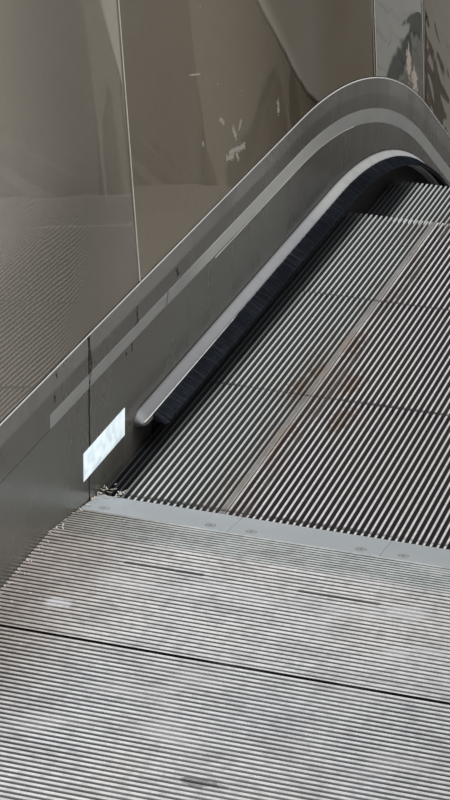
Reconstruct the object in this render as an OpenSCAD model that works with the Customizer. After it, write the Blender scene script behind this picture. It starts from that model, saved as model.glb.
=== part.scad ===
// Escalator, complete from landing to landing: level step band at both combs, an inclined run,
// metal-clad balustrades with moving handrails, and the clad truss that carries it.
// Millimetres. X runs level from the upper landing to the lower one, Y to the left of a person
// looking down the run, Z up. The origin is under the lower support angle, on its bearing face.

/* [Run] */
// Height between the two landings
rise = 2140; // [1800:20:6000]
// Slope of the inclined run in degrees
slope = 30; // [27:0.5:35]
// Comb segments side by side, which set the clear width
segments = 5; // [3:1:5]
// Width of one comb segment
segment_w = 200; // [180:5:220]
// Gap between the outer comb segment and the skirt
comb_side_gap = 1.5; // [1:0.5:3]

/* [Steps] */
// Distance from one step to the next along the run
step_pitch = 400; // [385:5:410]
// Gap between two treads
tread_gap = 4; // [3:0.5:6]
// Gap between a step and the skirt
step_side_gap = 3; // [2:0.5:4]
// Thickness of the tread casting
tread_t = 30; // [20:1:34]
// Thickness of the riser casting
riser_t = 20; // [12:1:24]
// Level length of the step band at each comb
step_flat = 1155; // [900:5:1500]
// Radius of the step band at the upper bend
step_r_top = 1500; // [1200:50:2700]
// Radius of the step band at the lower bend
step_r_low = 1200; // [1000:50:2000]
// Distance of the first nosing past the upper comb
first_nosing = 11; // [5:1:60]
// Radius of a main roller
roller_r = 38; // [30:1:40]
// Radius of a trailing roller
trail_r = 35; // [30:1:38]
// Thickness of a roller track
track_t = 12; // [8:1:16]

/* [Landings] */
// Length of the comb segments
comb_len = 70; // [60:1:90]
// Height of the comb segments at their back edge
comb_h = 12; // [9:0.5:16]
// Distance from the comb line to the top of the comb ramp
ramp_len = 170; // [130:5:220]
// Height of the landing floor above the treads
floor_h = 29; // [24:1:40]
// Distance from the comb line to the joint behind the comb plate
plate_seam = 419; // [400:1:500]
// Length of the first floor cover
cover_len = 980; // [700:10:1100]
// Joint between floor covers
floor_joint = 3; // [2:0.5:5]
// Length of the truss beyond the upper comb
upper_pit = 2300; // [1900:50:2600]
// Length of the truss beyond the lower comb
lower_pit = 2000; // [1900:50:2600]

/* [Balustrade] */
// Level length of the balustrade past the upper comb
side_flat = 950; // [800:10:1100]
// Radius of the balustrade base line at the upper bend
side_r_top = 1660; // [1500:20:2000]
// Radius of the balustrade base line at the lower bend
side_r_low = 2660; // [2400:20:3000]
// Height of the skirt above the treads
skirt_h = 165; // [140:1:170]
// Depth of the skirt below the treads
skirt_below = 200; // [180:5:210]
// Thickness of the skirt and the band above it
skirt_t = 6; // [4:0.5:8]
// Joint between the skirt and the strip above it
strip_joint = 1; // [0.5:0.5:2]
// Height of the satin strip
strip_h = 19; // [12:1:30]
// Start of the strip before the comb line
strip_start = 168; // [120:1:250]
// Height of the top of the band above the treads
band_top = 240; // [220:1:260]
// Joint between two lengths of skirt or panel
panel_joint = 2; // [1:0.5:4]
// Distance of the landing skirt's joint before the comb line
skirt_seam = 30; // [10:1:60]
// Outward lean of the inner panels in degrees
lean = 4.7; // [0:0.1:8]
// Thickness of the inner panels
panel_t = 4; // [3:0.5:8]
// Distance of the first panel joint past the comb line
panel_seam = 162; // [100:1:300]
// Longest panel between two joints
panel_bay = 1300; // [1100:10:1600]
// Distance from the comb line to the end of the base
base_end = 760; // [600:10:900]
// Thickness of the plate that closes the base's end
end_plate_t = 15; // [8:1:20]

/* [Handrail] */
// Height of the top of the handrail above the treads
handrail_h = 994; // [900:1:1100]
// Width of the handrail
handrail_w = 80; // [70:1:90]
// Depth of the handrail
handrail_d = 27; // [22:1:32]
// Thickness of the handrail's wall over its guide
handrail_wall = 13; // [9:1:14]
// Distance from the skirt to the middle of the handrail
handrail_out = 118.5; // [100:0.5:130]
// Radius of the handrail's outside round the newel
newel_r = 354; // [300:1:380]
// Distance from the comb line to the newel's centre
newel_x = 790; // [780:5:900]

/* [Truss] */
// Distance from the skirt to the inner face of the truss
truss_out = 132.5; // [110:0.5:150]
// Width of the truss members
truss_w = 60; // [50:5:80]
// Depth of the chords
chord_d = 100; // [80:5:140]
// Level of the top chord below the treads
chord_below = 60; // [50:5:80]
// Depth of the underside at the landings below the treads
soffit_depth = 1050; // [900:10:1200]
// Depth of the underside square to the incline
truss_depth = 950; // [800:10:1000]
// Thickness of the outside sheets
sheet_t = 3; // [1.5:0.5:5]
// Reach of the support angle beyond the truss
support_reach = 140; // [100:5:180]
// Thickness of the support angle
support_t = 20; // [12:1:30]
// Radius of the holes for the support bolts
support_hole_r = 9; // [6:0.5:12]
// Distance of a support bolt from the middle
support_hole_y = 500; // [300:10:560]

/* [Side details] */
// Length of the comb light on the skirt
light_len = 157; // [120:1:200]
// Height of the comb light
light_h = 40; // [25:1:50]
// Height of the light's lower edge above the treads
light_z = 42; // [36:1:60]
// Distance of the light's end before the comb line
light_back = 52; // [30:1:80]
// Distance of the brush holder's end past the comb line
holder_start = 142; // [110:1:200]
// Reach of the brush holder from the skirt
holder_reach = 16; // [10:1:20]
// Reach of the bristles from the skirt
bristle_reach = 38; // [30:1:45]

/* [Hidden] */
bend_steps = 16;
running_gap = 0.3;

// Plan sizes across the run
skirt_y = segments * segment_w / 2 + comb_side_gap;
step_y = skirt_y - step_side_gap;
truss_in = skirt_y + truss_out;
truss_y = truss_in + truss_w;
rail_y = skirt_y + handrail_out;

// The lines of the step band and the balustrade: [upper corner, lower corner, upper radius, lower radius]
half_tan = tan(slope / 2);
step_top_x = step_flat + step_r_top * half_tan;
step_low_x = step_top_x + rise / tan(slope);
step_line = [step_top_x, step_low_x, step_r_top, step_r_low];
comb_x = step_low_x + step_r_low * half_tan + step_flat;
side_top_x = side_flat + side_r_top * half_tan;
side_line = [side_top_x, side_top_x + rise / tan(slope), side_r_top, side_r_low];

// Lengths along the step band
bend_top_s = step_flat + step_r_top * slope * PI / 180;
straight = (rise - (step_r_top + step_r_low) * (1 - cos(slope))) / sin(slope);
bend_low_s = bend_top_s + straight;
flat_low_s = bend_low_s + step_r_low * slope * PI / 180;
run_length = flat_low_s + step_flat;
step_count = floor((run_length + step_pitch - first_nosing) / step_pitch) + 1;

// Sizes of the step casting, from its nosing
tread_len = step_pitch - tread_gap;
riser_angle = slope + 1.7;
axle_back = 70;
axle_drop = 285;
trail_back = 345;
trail_drop = 190;
cheek_in = 70.5;
cheek_y = step_y - cheek_in;
cheek_t = 12;
axle_r = 12;
roller_w = 35;
roller_off = 5;

// Levels of the balustrade
strip_low = skirt_h + strip_joint;
strip_top = strip_low + strip_h;
newel_h = handrail_h - newel_r;
rail_low = handrail_h - handrail_d;
guide_top = handrail_h - handrail_wall - running_gap;
guide_head_h = 8;
guide_depth = 28;
cap_t = 12;
cap_low = guide_top - guide_depth;
cap_top = cap_low + cap_t;
panel_top = cap_low - 0.5;
cap_out = 54;
cap_in = skirt_y + cap_out;
panel_d_r = panel_top - newel_h;

// Landing levels
cover_t = floor_h - 1;
comb_gap = 0.5;
tongue_back = 30;
tongue_t = 3;
light_t = 1.5;

// Corners of the underside
soffit_top_x = side_top_x + (soffit_depth - truss_depth / cos(slope)) / tan(slope);
soffit_low_x = side_top_x + (rise + soffit_depth - truss_depth / cos(slope)) / tan(slope);
left_end = -upper_pit;
right_end = comb_x + lower_pit;

// Support angle and origin
support_top = -chord_below;
support_h = chord_d;
origin_x = right_end + (support_t + support_reach) / 2;
origin_z = -rise + support_top - support_h;
support_out = 100;
support_y = skirt_y + support_out;
bearing_room = 12;

// Joints of the panels between the combs
bay_count = ceil((comb_x - 2 * panel_seam) / panel_bay);
bay = (comb_x - 2 * panel_seam) / bay_count;
seams = [for (i = [0:bay_count]) panel_seam + i * bay];
skirt_edges = concat([-skirt_seam], [for (i = [2:2:bay_count - 1]) seams[i]], [comb_x + skirt_seam]);

post_t = 40;
post_count = 13;
post_end = base_end - 60;
posts_x = [for (i = [0:post_count]) -post_end + i * (comb_x + 2 * post_end) / post_count];
vertical_count = 18;
verticals_x = [for (i = [0:vertical_count])
    left_end + truss_w / 2 + i * (right_end - left_end - truss_w) / vertical_count];
diagonal_w = truss_w - 10;
bracket_reach = 45;
track_end = step_pitch - 20;
casing_top = -chord_below + 20;
outer_low = casing_top + panel_joint;

// Height at x of the line that lies h square above a line
function line_z(line, x, h) =
    let (r_top = line[2], r_low = line[3],
         xa = line[0] - r_top * half_tan, xb = line[1] + r_low * half_tan)
    x <= xa ? h
    : x <= xa + (r_top + h) * sin(slope) ? sqrt(pow(r_top + h, 2) - pow(x - xa, 2)) - r_top
    : x <= xb - (r_low - h) * sin(slope) ? h / cos(slope) - (x - line[0]) * tan(slope)
    : x <= xb ? r_low - rise - sqrt(pow(r_low - h, 2) - pow(xb - x, 2))
    : h - rise;

// Places along a line where its bends are divided, from offset low to offset high
function bends_x(line, low, high) =
    let (r_top = line[2], r_low = line[3],
         xa = line[0] - r_top * half_tan, xb = line[1] + r_low * half_tan,
         run_a = (r_top + high) * sin(slope), run_b = (r_low - low) * sin(slope))
    concat([for (i = [0:bend_steps]) xa + run_a * i / bend_steps],
           [for (i = [0:bend_steps]) xb - run_b * (1 - i / bend_steps)]);

// Division places between x0 and x1, with both ends
function between(xs, x0, x1) = concat([x0], [for (x = xs) if (x > x0 + 1 && x < x1 - 1) x], [x1]);

function reversed(list) = [for (i = [len(list) - 1:-1:0]) list[i]];

// Upright outline between two offsets of a line
function ribbon(line, xs, low, high) =
    concat([for (x = xs) [x, line_z(line, x, high)]],
           [for (x = reversed(xs)) [x, line_z(line, x, low)]]);

// Place and slope on the balustrade's line at x
function side_tilt(x) =
    let (xa = side_flat, xb = side_line[1] + side_r_low * half_tan)
    x <= xa ? 0
    : x <= xa + side_r_top * sin(slope) ? asin((x - xa) / side_r_top)
    : x <= xb - side_r_low * sin(slope) ? slope
    : x <= xb ? asin((xb - x) / side_r_low)
    : 0;

// Nosing of the step at length s along the band
function nosing(s) =
    let (a_top = (s - step_flat) / step_r_top * 180 / PI,
         a_low = (flat_low_s - s) / step_r_low * 180 / PI,
         xb = step_low_x + step_r_low * half_tan)
    s <= step_flat ? [s, 0]
    : s <= bend_top_s ? [step_flat + step_r_top * sin(a_top), -step_r_top * (1 - cos(a_top))]
    : s <= bend_low_s ? [step_flat + step_r_top * sin(slope) + (s - bend_top_s) * cos(slope),
                         -step_r_top * (1 - cos(slope)) - (s - bend_top_s) * sin(slope)]
    : s <= flat_low_s ? [xb - step_r_low * sin(a_low), step_r_low * (1 - cos(a_low)) - rise]
    : [xb + s - flat_low_s, -rise];

function lean_y(h) = skirt_y + (h - band_top) * tan(lean);

// Level of the underside at x
function under_z(x) =
    x <= soffit_top_x ? -soffit_depth
    : x <= soffit_low_x ? -(x - side_top_x) * tan(slope) - truss_depth / cos(slope)
    : -rise - soffit_depth;

// Level of a track's running face for a roller that hangs back and drop from its nosing
function track_z(x, back, drop, r) = line_z(step_line, x + back, -r) - drop;

function step_name(i) = str("step_", i < 10 ? "0" : "", i);

// Moves a piece from the upper comb line to the part's own origin
module placed() {
    translate([-origin_x, 0, -origin_z]) children();
}

// A landing's pieces are drawn with X pointing away from the steps, from the comb line
module at_upper() {
    mirror([1, 0, 0]) children();
}

module at_lower() {
    translate([comb_x, 0, -rise]) children();
}

module on_side(side) {
    if (side > 0) children();
    else mirror([0, 1, 0]) children();
}

module both_sides() {
    on_side(1) children();
    on_side(-1) children();
}

// Upright sheet from y to y + t with its outline in X and Z
module sheet(outline, y, t) {
    translate([0, y + t, 0]) rotate([90, 0, 0]) linear_extrude(t) polygon(outline);
}

// Solid through rings of points, with its ends closed or joined into a loop
module sweep(rings, loop = false) {
    n = len(rings[0]);
    m = len(rings);
    spans = loop ? m : m - 1;
    sides = [for (i = [0:spans - 1], j = [0:n - 1])
        let (a = i * n, b = (i + 1) % m * n, k = (j + 1) % n)
        each [[a + j, a + k, b + k], [a + j, b + k, b + j]]];
    ends = loop ? [] : [[for (j = [n - 1:-1:0]) j], [for (j = [0:n - 1]) (m - 1) * n + j]];
    polyhedron([for (ring = rings) each ring], concat(sides, ends), convexity = 8);
}

// Steps

// Tread and riser in one casting, with the riser's face on an arc about the next nosing
module step_casting() {
    inner_r = step_pitch - riser_t;
    under_angle = asin(tread_t / inner_r);
    face = [for (i = [0:8]) let (a = riser_angle * i / 8)
        [step_pitch * (cos(a) - 1), -step_pitch * sin(a)]];
    back = [for (i = [0:8]) let (a = riser_angle + (under_angle - riser_angle) * i / 8)
        [inner_r * cos(a) - step_pitch, -inner_r * sin(a)]];
    sheet(concat([[-tread_len, 0]], face, back, [[-tread_len, -tread_t]]), -step_y, 2 * step_y);
}

// Side frame of a step, which carries the main and the trailing roller
module step_cheek() {
    top = 2 - tread_t;
    arm = 2 * axle_r;
    outline = [
        [-tread_len + 20, top], [-riser_t, top], [-axle_back - 2, -axle_drop + 77],
        [-axle_back + 8, -axle_drop + 50], [-axle_back + arm, -axle_drop + 10],
        [-axle_back + arm, -axle_drop - 15], [-axle_back - arm, -axle_drop - 15],
        [-axle_back - 40, -axle_drop + 35], [-trail_back / 2 - 30, -trail_drop + 50],
        [-trail_back + arm, -trail_drop - arm], [-trail_back - arm, -trail_drop - arm],
        [-trail_back - arm, -trail_drop + arm]];
    sheet(outline, cheek_y, cheek_t);
}

module roller(back, drop, r, y) {
    translate([-back, y + roller_w, -drop]) rotate([90, 0, 0]) cylinder(h = roller_w, r = r, $fn = 48);
}

// Short axle through the cheek to a roller
module stub(back, drop, y0, y1) {
    translate([-back, y1, -drop]) rotate([90, 0, 0]) cylinder(h = y1 - y0, r = axle_r, $fn = 32);
}

module step(i) {
    at = nosing(first_nosing + (i - 1) * step_pitch);
    roller_y = cheek_y + cheek_t + roller_off;
    trail_y = cheek_y - roller_off - roller_w;
    color("dimgray") placed() translate([at[0], 0, at[1]]) {
        step_casting();
        both_sides() {
            step_cheek();
            roller(axle_back, axle_drop, roller_r, roller_y);
            stub(axle_back, axle_drop, cheek_y, roller_y + roller_w);
            roller(trail_back, trail_drop, trail_r, trail_y);
            stub(trail_back, trail_drop, trail_y, cheek_y + cheek_t);
        }
    }
}

// Tracks and the brackets that hang them between the truss sides

module track(back, drop, r, y) {
    line_xs = [for (x = bends_x(step_line, -r, 0)) x - back];
    xs = between(line_xs, -step_pitch, comb_x + track_end);
    face = [for (x = xs) [x, track_z(x, back, drop, r + running_gap)]];
    under = [for (x = reversed(xs)) [x, track_z(x, back, drop, r + running_gap + track_t)]];
    sheet(concat(face, under), y, roller_w);
}

module track_bracket(x, main_y, trail_y) {
    main_z = track_z(x, axle_back, axle_drop, roller_r + running_gap + track_t / 2);
    trail_z = track_z(x, trail_back, trail_drop, trail_r + running_gap + track_t / 2);
    low = min(main_z, trail_z) - 80;
    bar = low + bracket_reach;
    outline = [
        [trail_y, low], [trail_y, trail_z], [trail_y + roller_w, trail_z], [trail_y + roller_w, bar],
        [main_y, bar], [main_y, main_z], [main_y + roller_w, main_z], [main_y + roller_w, bar],
        [truss_in, bar], [truss_in, low]];
    translate([x - track_t / 2, 0, 0]) rotate([90, 0, 90]) linear_extrude(track_t) polygon(outline);
}

module tracks() {
    main_y = cheek_y + cheek_t + roller_off;
    trail_y = cheek_y - roller_off - roller_w;
    color("slategray") placed() both_sides() {
        track(axle_back, axle_drop, roller_r, main_y);
        track(trail_back, trail_drop, trail_r, trail_y);
        for (x = verticals_x) {
            if (x > -step_pitch + track_t && x < comb_x + track_end - track_t) {
                track_bracket(x, main_y, trail_y);
            }
        }
    }
}

// Truss

// Flat bar between two points of the truss side
module lattice_bar(p, q, w) {
    d = (q - p) / norm(q - p);
    n = [-d[1], d[0]] * w / 2;
    polygon([p + n, q + n, q - n, p - n]);
}

module truss_side() {
    xs = between(bends_x(side_line, -chord_below - chord_d, -chord_below), left_end, right_end);
    corners = [left_end, soffit_top_x, soffit_low_x, right_end];
    polygon(ribbon(side_line, xs, -chord_below - chord_d, -chord_below));
    polygon(concat([for (x = corners) [x, under_z(x) + chord_d]],
                   [for (x = reversed(corners)) [x, under_z(x)]]));
    for (i = [0:vertical_count]) {
        x = verticals_x[i];
        top = [x, line_z(side_line, x, -chord_below - chord_d / 2)];
        foot = [x, under_z(x) + chord_d / 2];
        lattice_bar(top, foot, truss_w);
        if (i < vertical_count) {
            next_x = verticals_x[i + 1];
            next_top = [next_x, line_z(side_line, next_x, -chord_below - chord_d / 2)];
            next_foot = [next_x, under_z(next_x) + chord_d / 2];
            if (i % 2 == 0) lattice_bar(foot, next_top, diagonal_w);
            else lattice_bar(top, next_foot, diagonal_w);
        }
    }
}

// Beams and packers under a landing's floor, from the comb line outwards
module floor_frame(pit) {
    packer_h = chord_below + floor_h - cover_t;
    wide_from = base_end + end_plate_t + floor_joint;
    beams = [plate_seam, plate_seam + cover_len, (plate_seam + cover_len + pit) / 2];
    for (x = beams) {
        translate([x - truss_w / 2, -truss_in, -chord_below - truss_w])
            cube([truss_w, 2 * truss_in, truss_w]);
        reach = x < wide_from ? skirt_y - comb_side_gap : truss_y;
        translate([x - truss_w / 2, -reach, -chord_below]) cube([truss_w, 2 * reach, packer_h]);
    }
    both_sides() translate([wide_from, truss_in, -chord_below]) cube([pit - wide_from, truss_w, packer_h]);
    translate([pit - truss_w, -truss_y, -chord_below - chord_d])
        cube([truss_w, 2 * truss_y, chord_d + packer_h]);
}

module truss() {
    color("lightslategray") placed() {
        both_sides() translate([0, truss_y, 0]) rotate([90, 0, 0]) linear_extrude(truss_w) truss_side();
        for (x = verticals_x) {
            translate([x - truss_w / 2, -truss_in, under_z(x - truss_w / 2)])
                cube([truss_w, 2 * truss_in, truss_w]);
        }
        at_upper() floor_frame(upper_pit);
        at_lower() floor_frame(lower_pit);
    }
}

// Support angle at a truss end, with its bearing face underneath
module support_angle(pit) {
    outline = [
        [pit, support_top], [pit + support_t, support_top],
        [pit + support_t, support_top - support_h + support_t],
        [pit + support_t + support_reach, support_top - support_h + support_t],
        [pit + support_t + support_reach, support_top - support_h], [pit, support_top - support_h]];
    difference() {
        sheet(outline, -support_y, 2 * support_y);
        hole_x = pit + support_t + support_reach / 2;
        both_sides() translate([hole_x, support_hole_y, support_top - support_h - 1])
            cylinder(h = support_t + 2, r = support_hole_r, $fn = 48);
    }
}

module upper_support() {
    color("dimgray") placed() at_upper() support_angle(upper_pit);
}

module lower_support() {
    color("dimgray") placed() at_lower() support_angle(lower_pit);
}

// Outside sheets

module soffit() {
    joint = panel_joint / 2;
    corners = [left_end, soffit_top_x, soffit_low_x, right_end];
    color("silver") placed() {
        for (i = [0:2]) {
            x0 = corners[i] + (i == 0 ? 0 : joint);
            x1 = corners[i + 1] - (i == 2 ? 0 : joint);
            outline = [[x0, under_z(x0)], [x1, under_z(x1)],
                       [x1, under_z(x1) - sheet_t], [x0, under_z(x0) - sheet_t]];
            sheet(outline, -truss_y, 2 * truss_y);
        }
        at_upper() end_sheet(upper_pit);
        at_lower() end_sheet(lower_pit);
    }
}

// Sheet over a truss end, kept clear of what the support angle rests on
module end_sheet(pit) {
    top = support_top - support_h - bearing_room;
    translate([pit, -truss_y, -soffit_depth]) cube([sheet_t, 2 * truss_y, soffit_depth + top]);
}

// One length of the outside sheets between two joints, from the underside up to a given height
module casing_length(x0, x1, top) {
    xs = between(bends_x(side_line, top, top), x0, x1);
    low_xs = between([soffit_top_x, soffit_low_x], x0, x1);
    outline = concat([for (x = xs) [x, line_z(side_line, x, top)]],
                     [for (x = reversed(low_xs)) [x, under_z(x) - sheet_t]]);
    sheet(outline, truss_y, sheet_t);
}

module casing(side) {
    joint = panel_joint / 2;
    wide_from = base_end + end_plate_t + floor_joint;
    edges = concat([-wide_from], seams, [comb_x + wide_from]);
    color("silver") placed() on_side(side) {
        casing_length(left_end, -wide_from - joint, floor_h);
        for (i = [0:len(edges) - 2]) {
            casing_length(edges[i] + joint, edges[i + 1] - joint, casing_top);
        }
        casing_length(comb_x + wide_from + joint, right_end, floor_h);
    }
}

// Outline of a panel at a newel, drawn from the comb line outwards
function newel_outline(low, near) =
    concat([[near, low], [base_end, low], [base_end, newel_h - panel_d_r]],
           [for (i = [0:16]) let (a = -90 + i * 180 / 16)
               [newel_x + panel_d_r * cos(a), newel_h + panel_d_r * sin(a)]],
           [[near, panel_top]]);

module outer_panels(side) {
    joint = panel_joint / 2;
    color("silver") placed() on_side(side) {
        at_upper() sheet(newel_outline(outer_low, -panel_seam + joint), truss_y, sheet_t);
        at_lower() sheet(newel_outline(outer_low, -panel_seam + joint), truss_y, sheet_t);
        for (i = [0:bay_count - 1]) {
            xs = between(bends_x(side_line, outer_low, panel_top), seams[i] + joint, seams[i + 1] - joint);
            sheet(ribbon(side_line, xs, outer_low, panel_top), truss_y, sheet_t);
        }
    }
}

// Balustrade

module posts() {
    skirt_back = skirt_y + skirt_t;
    rail_room = 10;
    outline = [
        [skirt_back, -chord_below], [skirt_back, band_top], [lean_y(band_top) + panel_t, band_top],
        [lean_y(panel_top) + panel_t, panel_top], [truss_y, panel_top], [truss_y, -chord_below]];
    window_low = 2 * newel_h - handrail_h - rail_room;
    color("gray") placed() both_sides() {
        for (x = posts_x) {
            translate([x, 0, line_z(side_line, x, 0)]) rotate([0, side_tilt(x), 0]) difference() {
                translate([-post_t / 2, 0, 0]) rotate([90, 0, 90]) linear_extrude(post_t) polygon(outline);
                translate([-post_t, rail_y - handrail_w / 2 - rail_room, window_low])
                    cube([2 * post_t, handrail_w + 2 * rail_room, handrail_d + 2 * rail_room]);
            }
        }
    }
}

// Skirt lengths: one at each landing down to the floor frame, and longer ones along the steps
module skirt(side) {
    joint = panel_joint / 2;
    landing = [[skirt_seam + joint, -skirt_below], [step_pitch, -skirt_below], [step_pitch, -chord_below],
               [base_end, -chord_below], [base_end, skirt_h], [skirt_seam + joint, skirt_h]];
    color("rosybrown") placed() on_side(side) {
        at_upper() sheet(landing, skirt_y, skirt_t);
        at_lower() sheet(landing, skirt_y, skirt_t);
        for (i = [0:len(skirt_edges) - 2]) {
            x0 = skirt_edges[i] + joint;
            x1 = skirt_edges[i + 1] - joint;
            xs = between(bends_x(side_line, -skirt_below, skirt_h), x0, x1);
            sheet(ribbon(side_line, xs, -skirt_below, skirt_h), skirt_y, skirt_t);
        }
    }
}

// Band above the skirt; over the strip it starts higher
module band(side) {
    joint = panel_joint / 2;
    landing = [[skirt_seam + joint, strip_top], [strip_start, strip_top], [strip_start, strip_low],
               [base_end, strip_low], [base_end, band_top], [skirt_seam + joint, band_top]];
    color("tan") placed() on_side(side) {
        at_upper() sheet(landing, skirt_y, skirt_t);
        at_lower() sheet(landing, skirt_y, skirt_t);
        for (i = [0:len(skirt_edges) - 2]) {
            x0 = skirt_edges[i] + joint;
            x1 = skirt_edges[i + 1] - joint;
            xs = between(bends_x(side_line, strip_low, band_top), x0, x1);
            sheet(ribbon(side_line, xs, strip_top, band_top), skirt_y, skirt_t);
        }
    }
}

module strips() {
    joint = panel_joint / 2;
    landing = [[skirt_seam + joint, strip_low], [strip_start, strip_low],
               [strip_start, strip_top], [skirt_seam + joint, strip_top]];
    color("gainsboro") placed() both_sides() {
        at_upper() sheet(landing, skirt_y, skirt_t);
        at_lower() sheet(landing, skirt_y, skirt_t);
        for (i = [0:len(skirt_edges) - 2]) {
            x0 = skirt_edges[i] + joint;
            x1 = skirt_edges[i + 1] - joint;
            xs = between(bends_x(side_line, strip_low, band_top), x0, x1);
            sheet(ribbon(side_line, xs, strip_low, strip_top), skirt_y, skirt_t);
        }
    }
}

// Leaning panel at a newel, drawn from the comb line outwards
module newel_panel() {
    outline = reversed(newel_outline(band_top, -panel_seam + panel_joint / 2));
    sweep([[for (p = outline) [p[0], lean_y(p[1]), p[1]]],
           [for (p = outline) [p[0], lean_y(p[1]) + panel_t, p[1]]]]);
}

module inner_panels(side) {
    joint = panel_joint / 2;
    color("sienna") placed() on_side(side) {
        at_upper() newel_panel();
        at_lower() newel_panel();
        for (i = [0:bay_count - 1]) {
            xs = between(bends_x(side_line, band_top, panel_top), seams[i] + joint, seams[i + 1] - joint);
            sweep([for (x = xs) [
                [x, lean_y(band_top), line_z(side_line, x, band_top)],
                [x, lean_y(band_top) + panel_t, line_z(side_line, x, band_top)],
                [x, lean_y(panel_top) + panel_t, line_z(side_line, x, panel_top)],
                [x, lean_y(panel_top), line_z(side_line, x, panel_top)]]]);
        }
    }
}

// Cap and handrail follow stations [x, z, tilt] on the line through the newel centres
function upper_stations() =
    [for (i = [0:bend_steps]) let (a = slope * i / bend_steps)
        [side_flat + (side_r_top + newel_h) * sin(a), (side_r_top + newel_h) * cos(a) - side_r_top, a]];

function lower_stations() =
    let (xb = side_line[1] + side_r_low * half_tan)
    [for (i = [0:bend_steps]) let (a = slope * (1 - i / bend_steps))
        [xb - (side_r_low - newel_h) * sin(a), side_r_low - rise - (side_r_low - newel_h) * cos(a), a]];

function top_stations() = concat([[-newel_x, newel_h, 0]], upper_stations(), lower_stations(),
                                 [[comb_x + newel_x, newel_h - rise, 0]]);

// Stations round a newel centre, the tilt going from a to b
function newel_stations(x, z, a, b) =
    [for (i = [1:bend_steps - 1]) [x, z, a + (b - a) * i / bend_steps]];

// Ring of a section [y, height over the treads] at a station
function ring(section, station) =
    [for (p = section) let (r = p[1] - newel_h)
        [station[0] + r * sin(station[2]), p[0], station[1] + r * cos(station[2])]];

module cap(side) {
    stem = 14;
    head = handrail_w / 2 - 14;
    end_x = base_end + end_plate_t + 0.5;
    fall = 2;
    head_low = guide_top - guide_head_h;
    section = [
        [cap_in, cap_low], [truss_y + sheet_t, cap_low], [truss_y + sheet_t, cap_top - fall],
        [rail_y + stem, cap_top], [rail_y + stem, head_low], [rail_y + head, head_low + fall],
        [rail_y + head, guide_top], [rail_y - head, guide_top], [rail_y - head, head_low + fall],
        [rail_y - stem, head_low], [rail_y - stem, cap_top], [cap_in, cap_top - fall]];
    stations = concat(
        [[-end_x, newel_h, -180], [-newel_x, newel_h, -180]],
        newel_stations(-newel_x, newel_h, -180, 0),
        top_stations(),
        newel_stations(comb_x + newel_x, newel_h - rise, 0, 180),
        [[comb_x + newel_x, newel_h - rise, 180], [comb_x + end_x, newel_h - rise, 180]]);
    color("darkgray") placed() on_side(side) sweep([for (s = stations) ring(section, s)]);
}

// One closed loop round both newels, whose return runs inside the balustrade
module handrail(side) {
    half = handrail_w / 2;
    lip = handrail_wall - 3;
    slot = half - lip - 10;
    top = handrail_h;
    cavity_top = top - handrail_wall;
    cavity_low = rail_low + 4;
    section = [
        [rail_y - half + 6, rail_low], [rail_y - slot, rail_low], [rail_y - slot, cavity_low],
        [rail_y - half + lip, cavity_low], [rail_y - half + lip, cavity_top],
        [rail_y + half - lip, cavity_top], [rail_y + half - lip, cavity_low],
        [rail_y + slot, cavity_low], [rail_y + slot, rail_low], [rail_y + half - 6, rail_low],
        [rail_y + half, rail_low + 7], [rail_y + half - 2, top - 9], [rail_y + half - 12, top - 1.5],
        [rail_y, top], [rail_y - half + 12, top - 1.5], [rail_y - half + 2, top - 9],
        [rail_y - half, rail_low + 7]];
    back = [for (s = reversed(top_stations())) [s[0], s[1], s[2] + 180]];
    stations = concat(
        top_stations(),
        newel_stations(comb_x + newel_x, newel_h - rise, 0, 180),
        back,
        newel_stations(-newel_x, newel_h, 180, 360));
    color("black") placed() on_side(side) sweep([for (s = stations) ring(section, s)], loop = true);
}

// Plate that closes the base under a newel, with the window where the handrail goes in
module end_plate() {
    room = 8;
    top = newel_h - panel_d_r - 0.5;
    window_low = 2 * newel_h - handrail_h - room;
    difference() {
        translate([base_end, skirt_y, floor_h + running_gap])
            cube([end_plate_t, truss_y + sheet_t - skirt_y, top - floor_h - running_gap]);
        translate([base_end - 1, rail_y - handrail_w / 2 - room, window_low])
            cube([end_plate_t + 2, handrail_w + 2 * room, handrail_d + room + 4]);
    }
}

module handrail_inlets() {
    color("dimgray") placed() both_sides() {
        at_upper() end_plate();
        at_lower() end_plate();
    }
}

// Details on the skirt

// Section [reach from the skirt, height over the treads] carried along the step band beside the skirt
module skirt_rail(section, x0, x1) {
    xs = between(bends_x(step_line, 0, 60), x0, x1);
    sweep([for (x = xs) [for (p = section) [x, skirt_y - p[0], line_z(step_line, x, p[1])]]]);
}

module brush_holder(side) {
    section = [[0, 58], [0, 31], [holder_reach, 36], [holder_reach, 47]];
    color("lightgray") placed() on_side(side) skirt_rail(section, holder_start, comb_x - holder_start);
}

module brushes() {
    start = holder_start + 28;
    color("black") placed() both_sides() {
        skirt_rail([[holder_reach, 44], [holder_reach, 37], [bristle_reach, 26], [bristle_reach, 29]],
                   start, comb_x - start);
    }
}

module comb_lights() {
    color("white") placed() both_sides() {
        at_upper() comb_light();
        at_lower() comb_light();
    }
}

module comb_light() {
    translate([light_back - light_len, skirt_y - light_t, light_z]) cube([light_len, light_t, light_h]);
}

// Landing floor

module comb_row() {
    outline = [[0, comb_gap], [tongue_back, comb_gap], [tongue_back, comb_gap + tongue_t],
               [comb_len, comb_gap + tongue_t], [comb_len, comb_h], [0, comb_gap + 0.5]];
    for (i = [0:segments - 1]) {
        sheet(outline, (i - segments / 2) * segment_w + comb_gap / 2, segment_w - comb_gap);
    }
}

module upper_combs() {
    color("gainsboro") placed() at_upper() comb_row();
}

module lower_combs() {
    color("gainsboro") placed() at_lower() comb_row();
}

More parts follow.
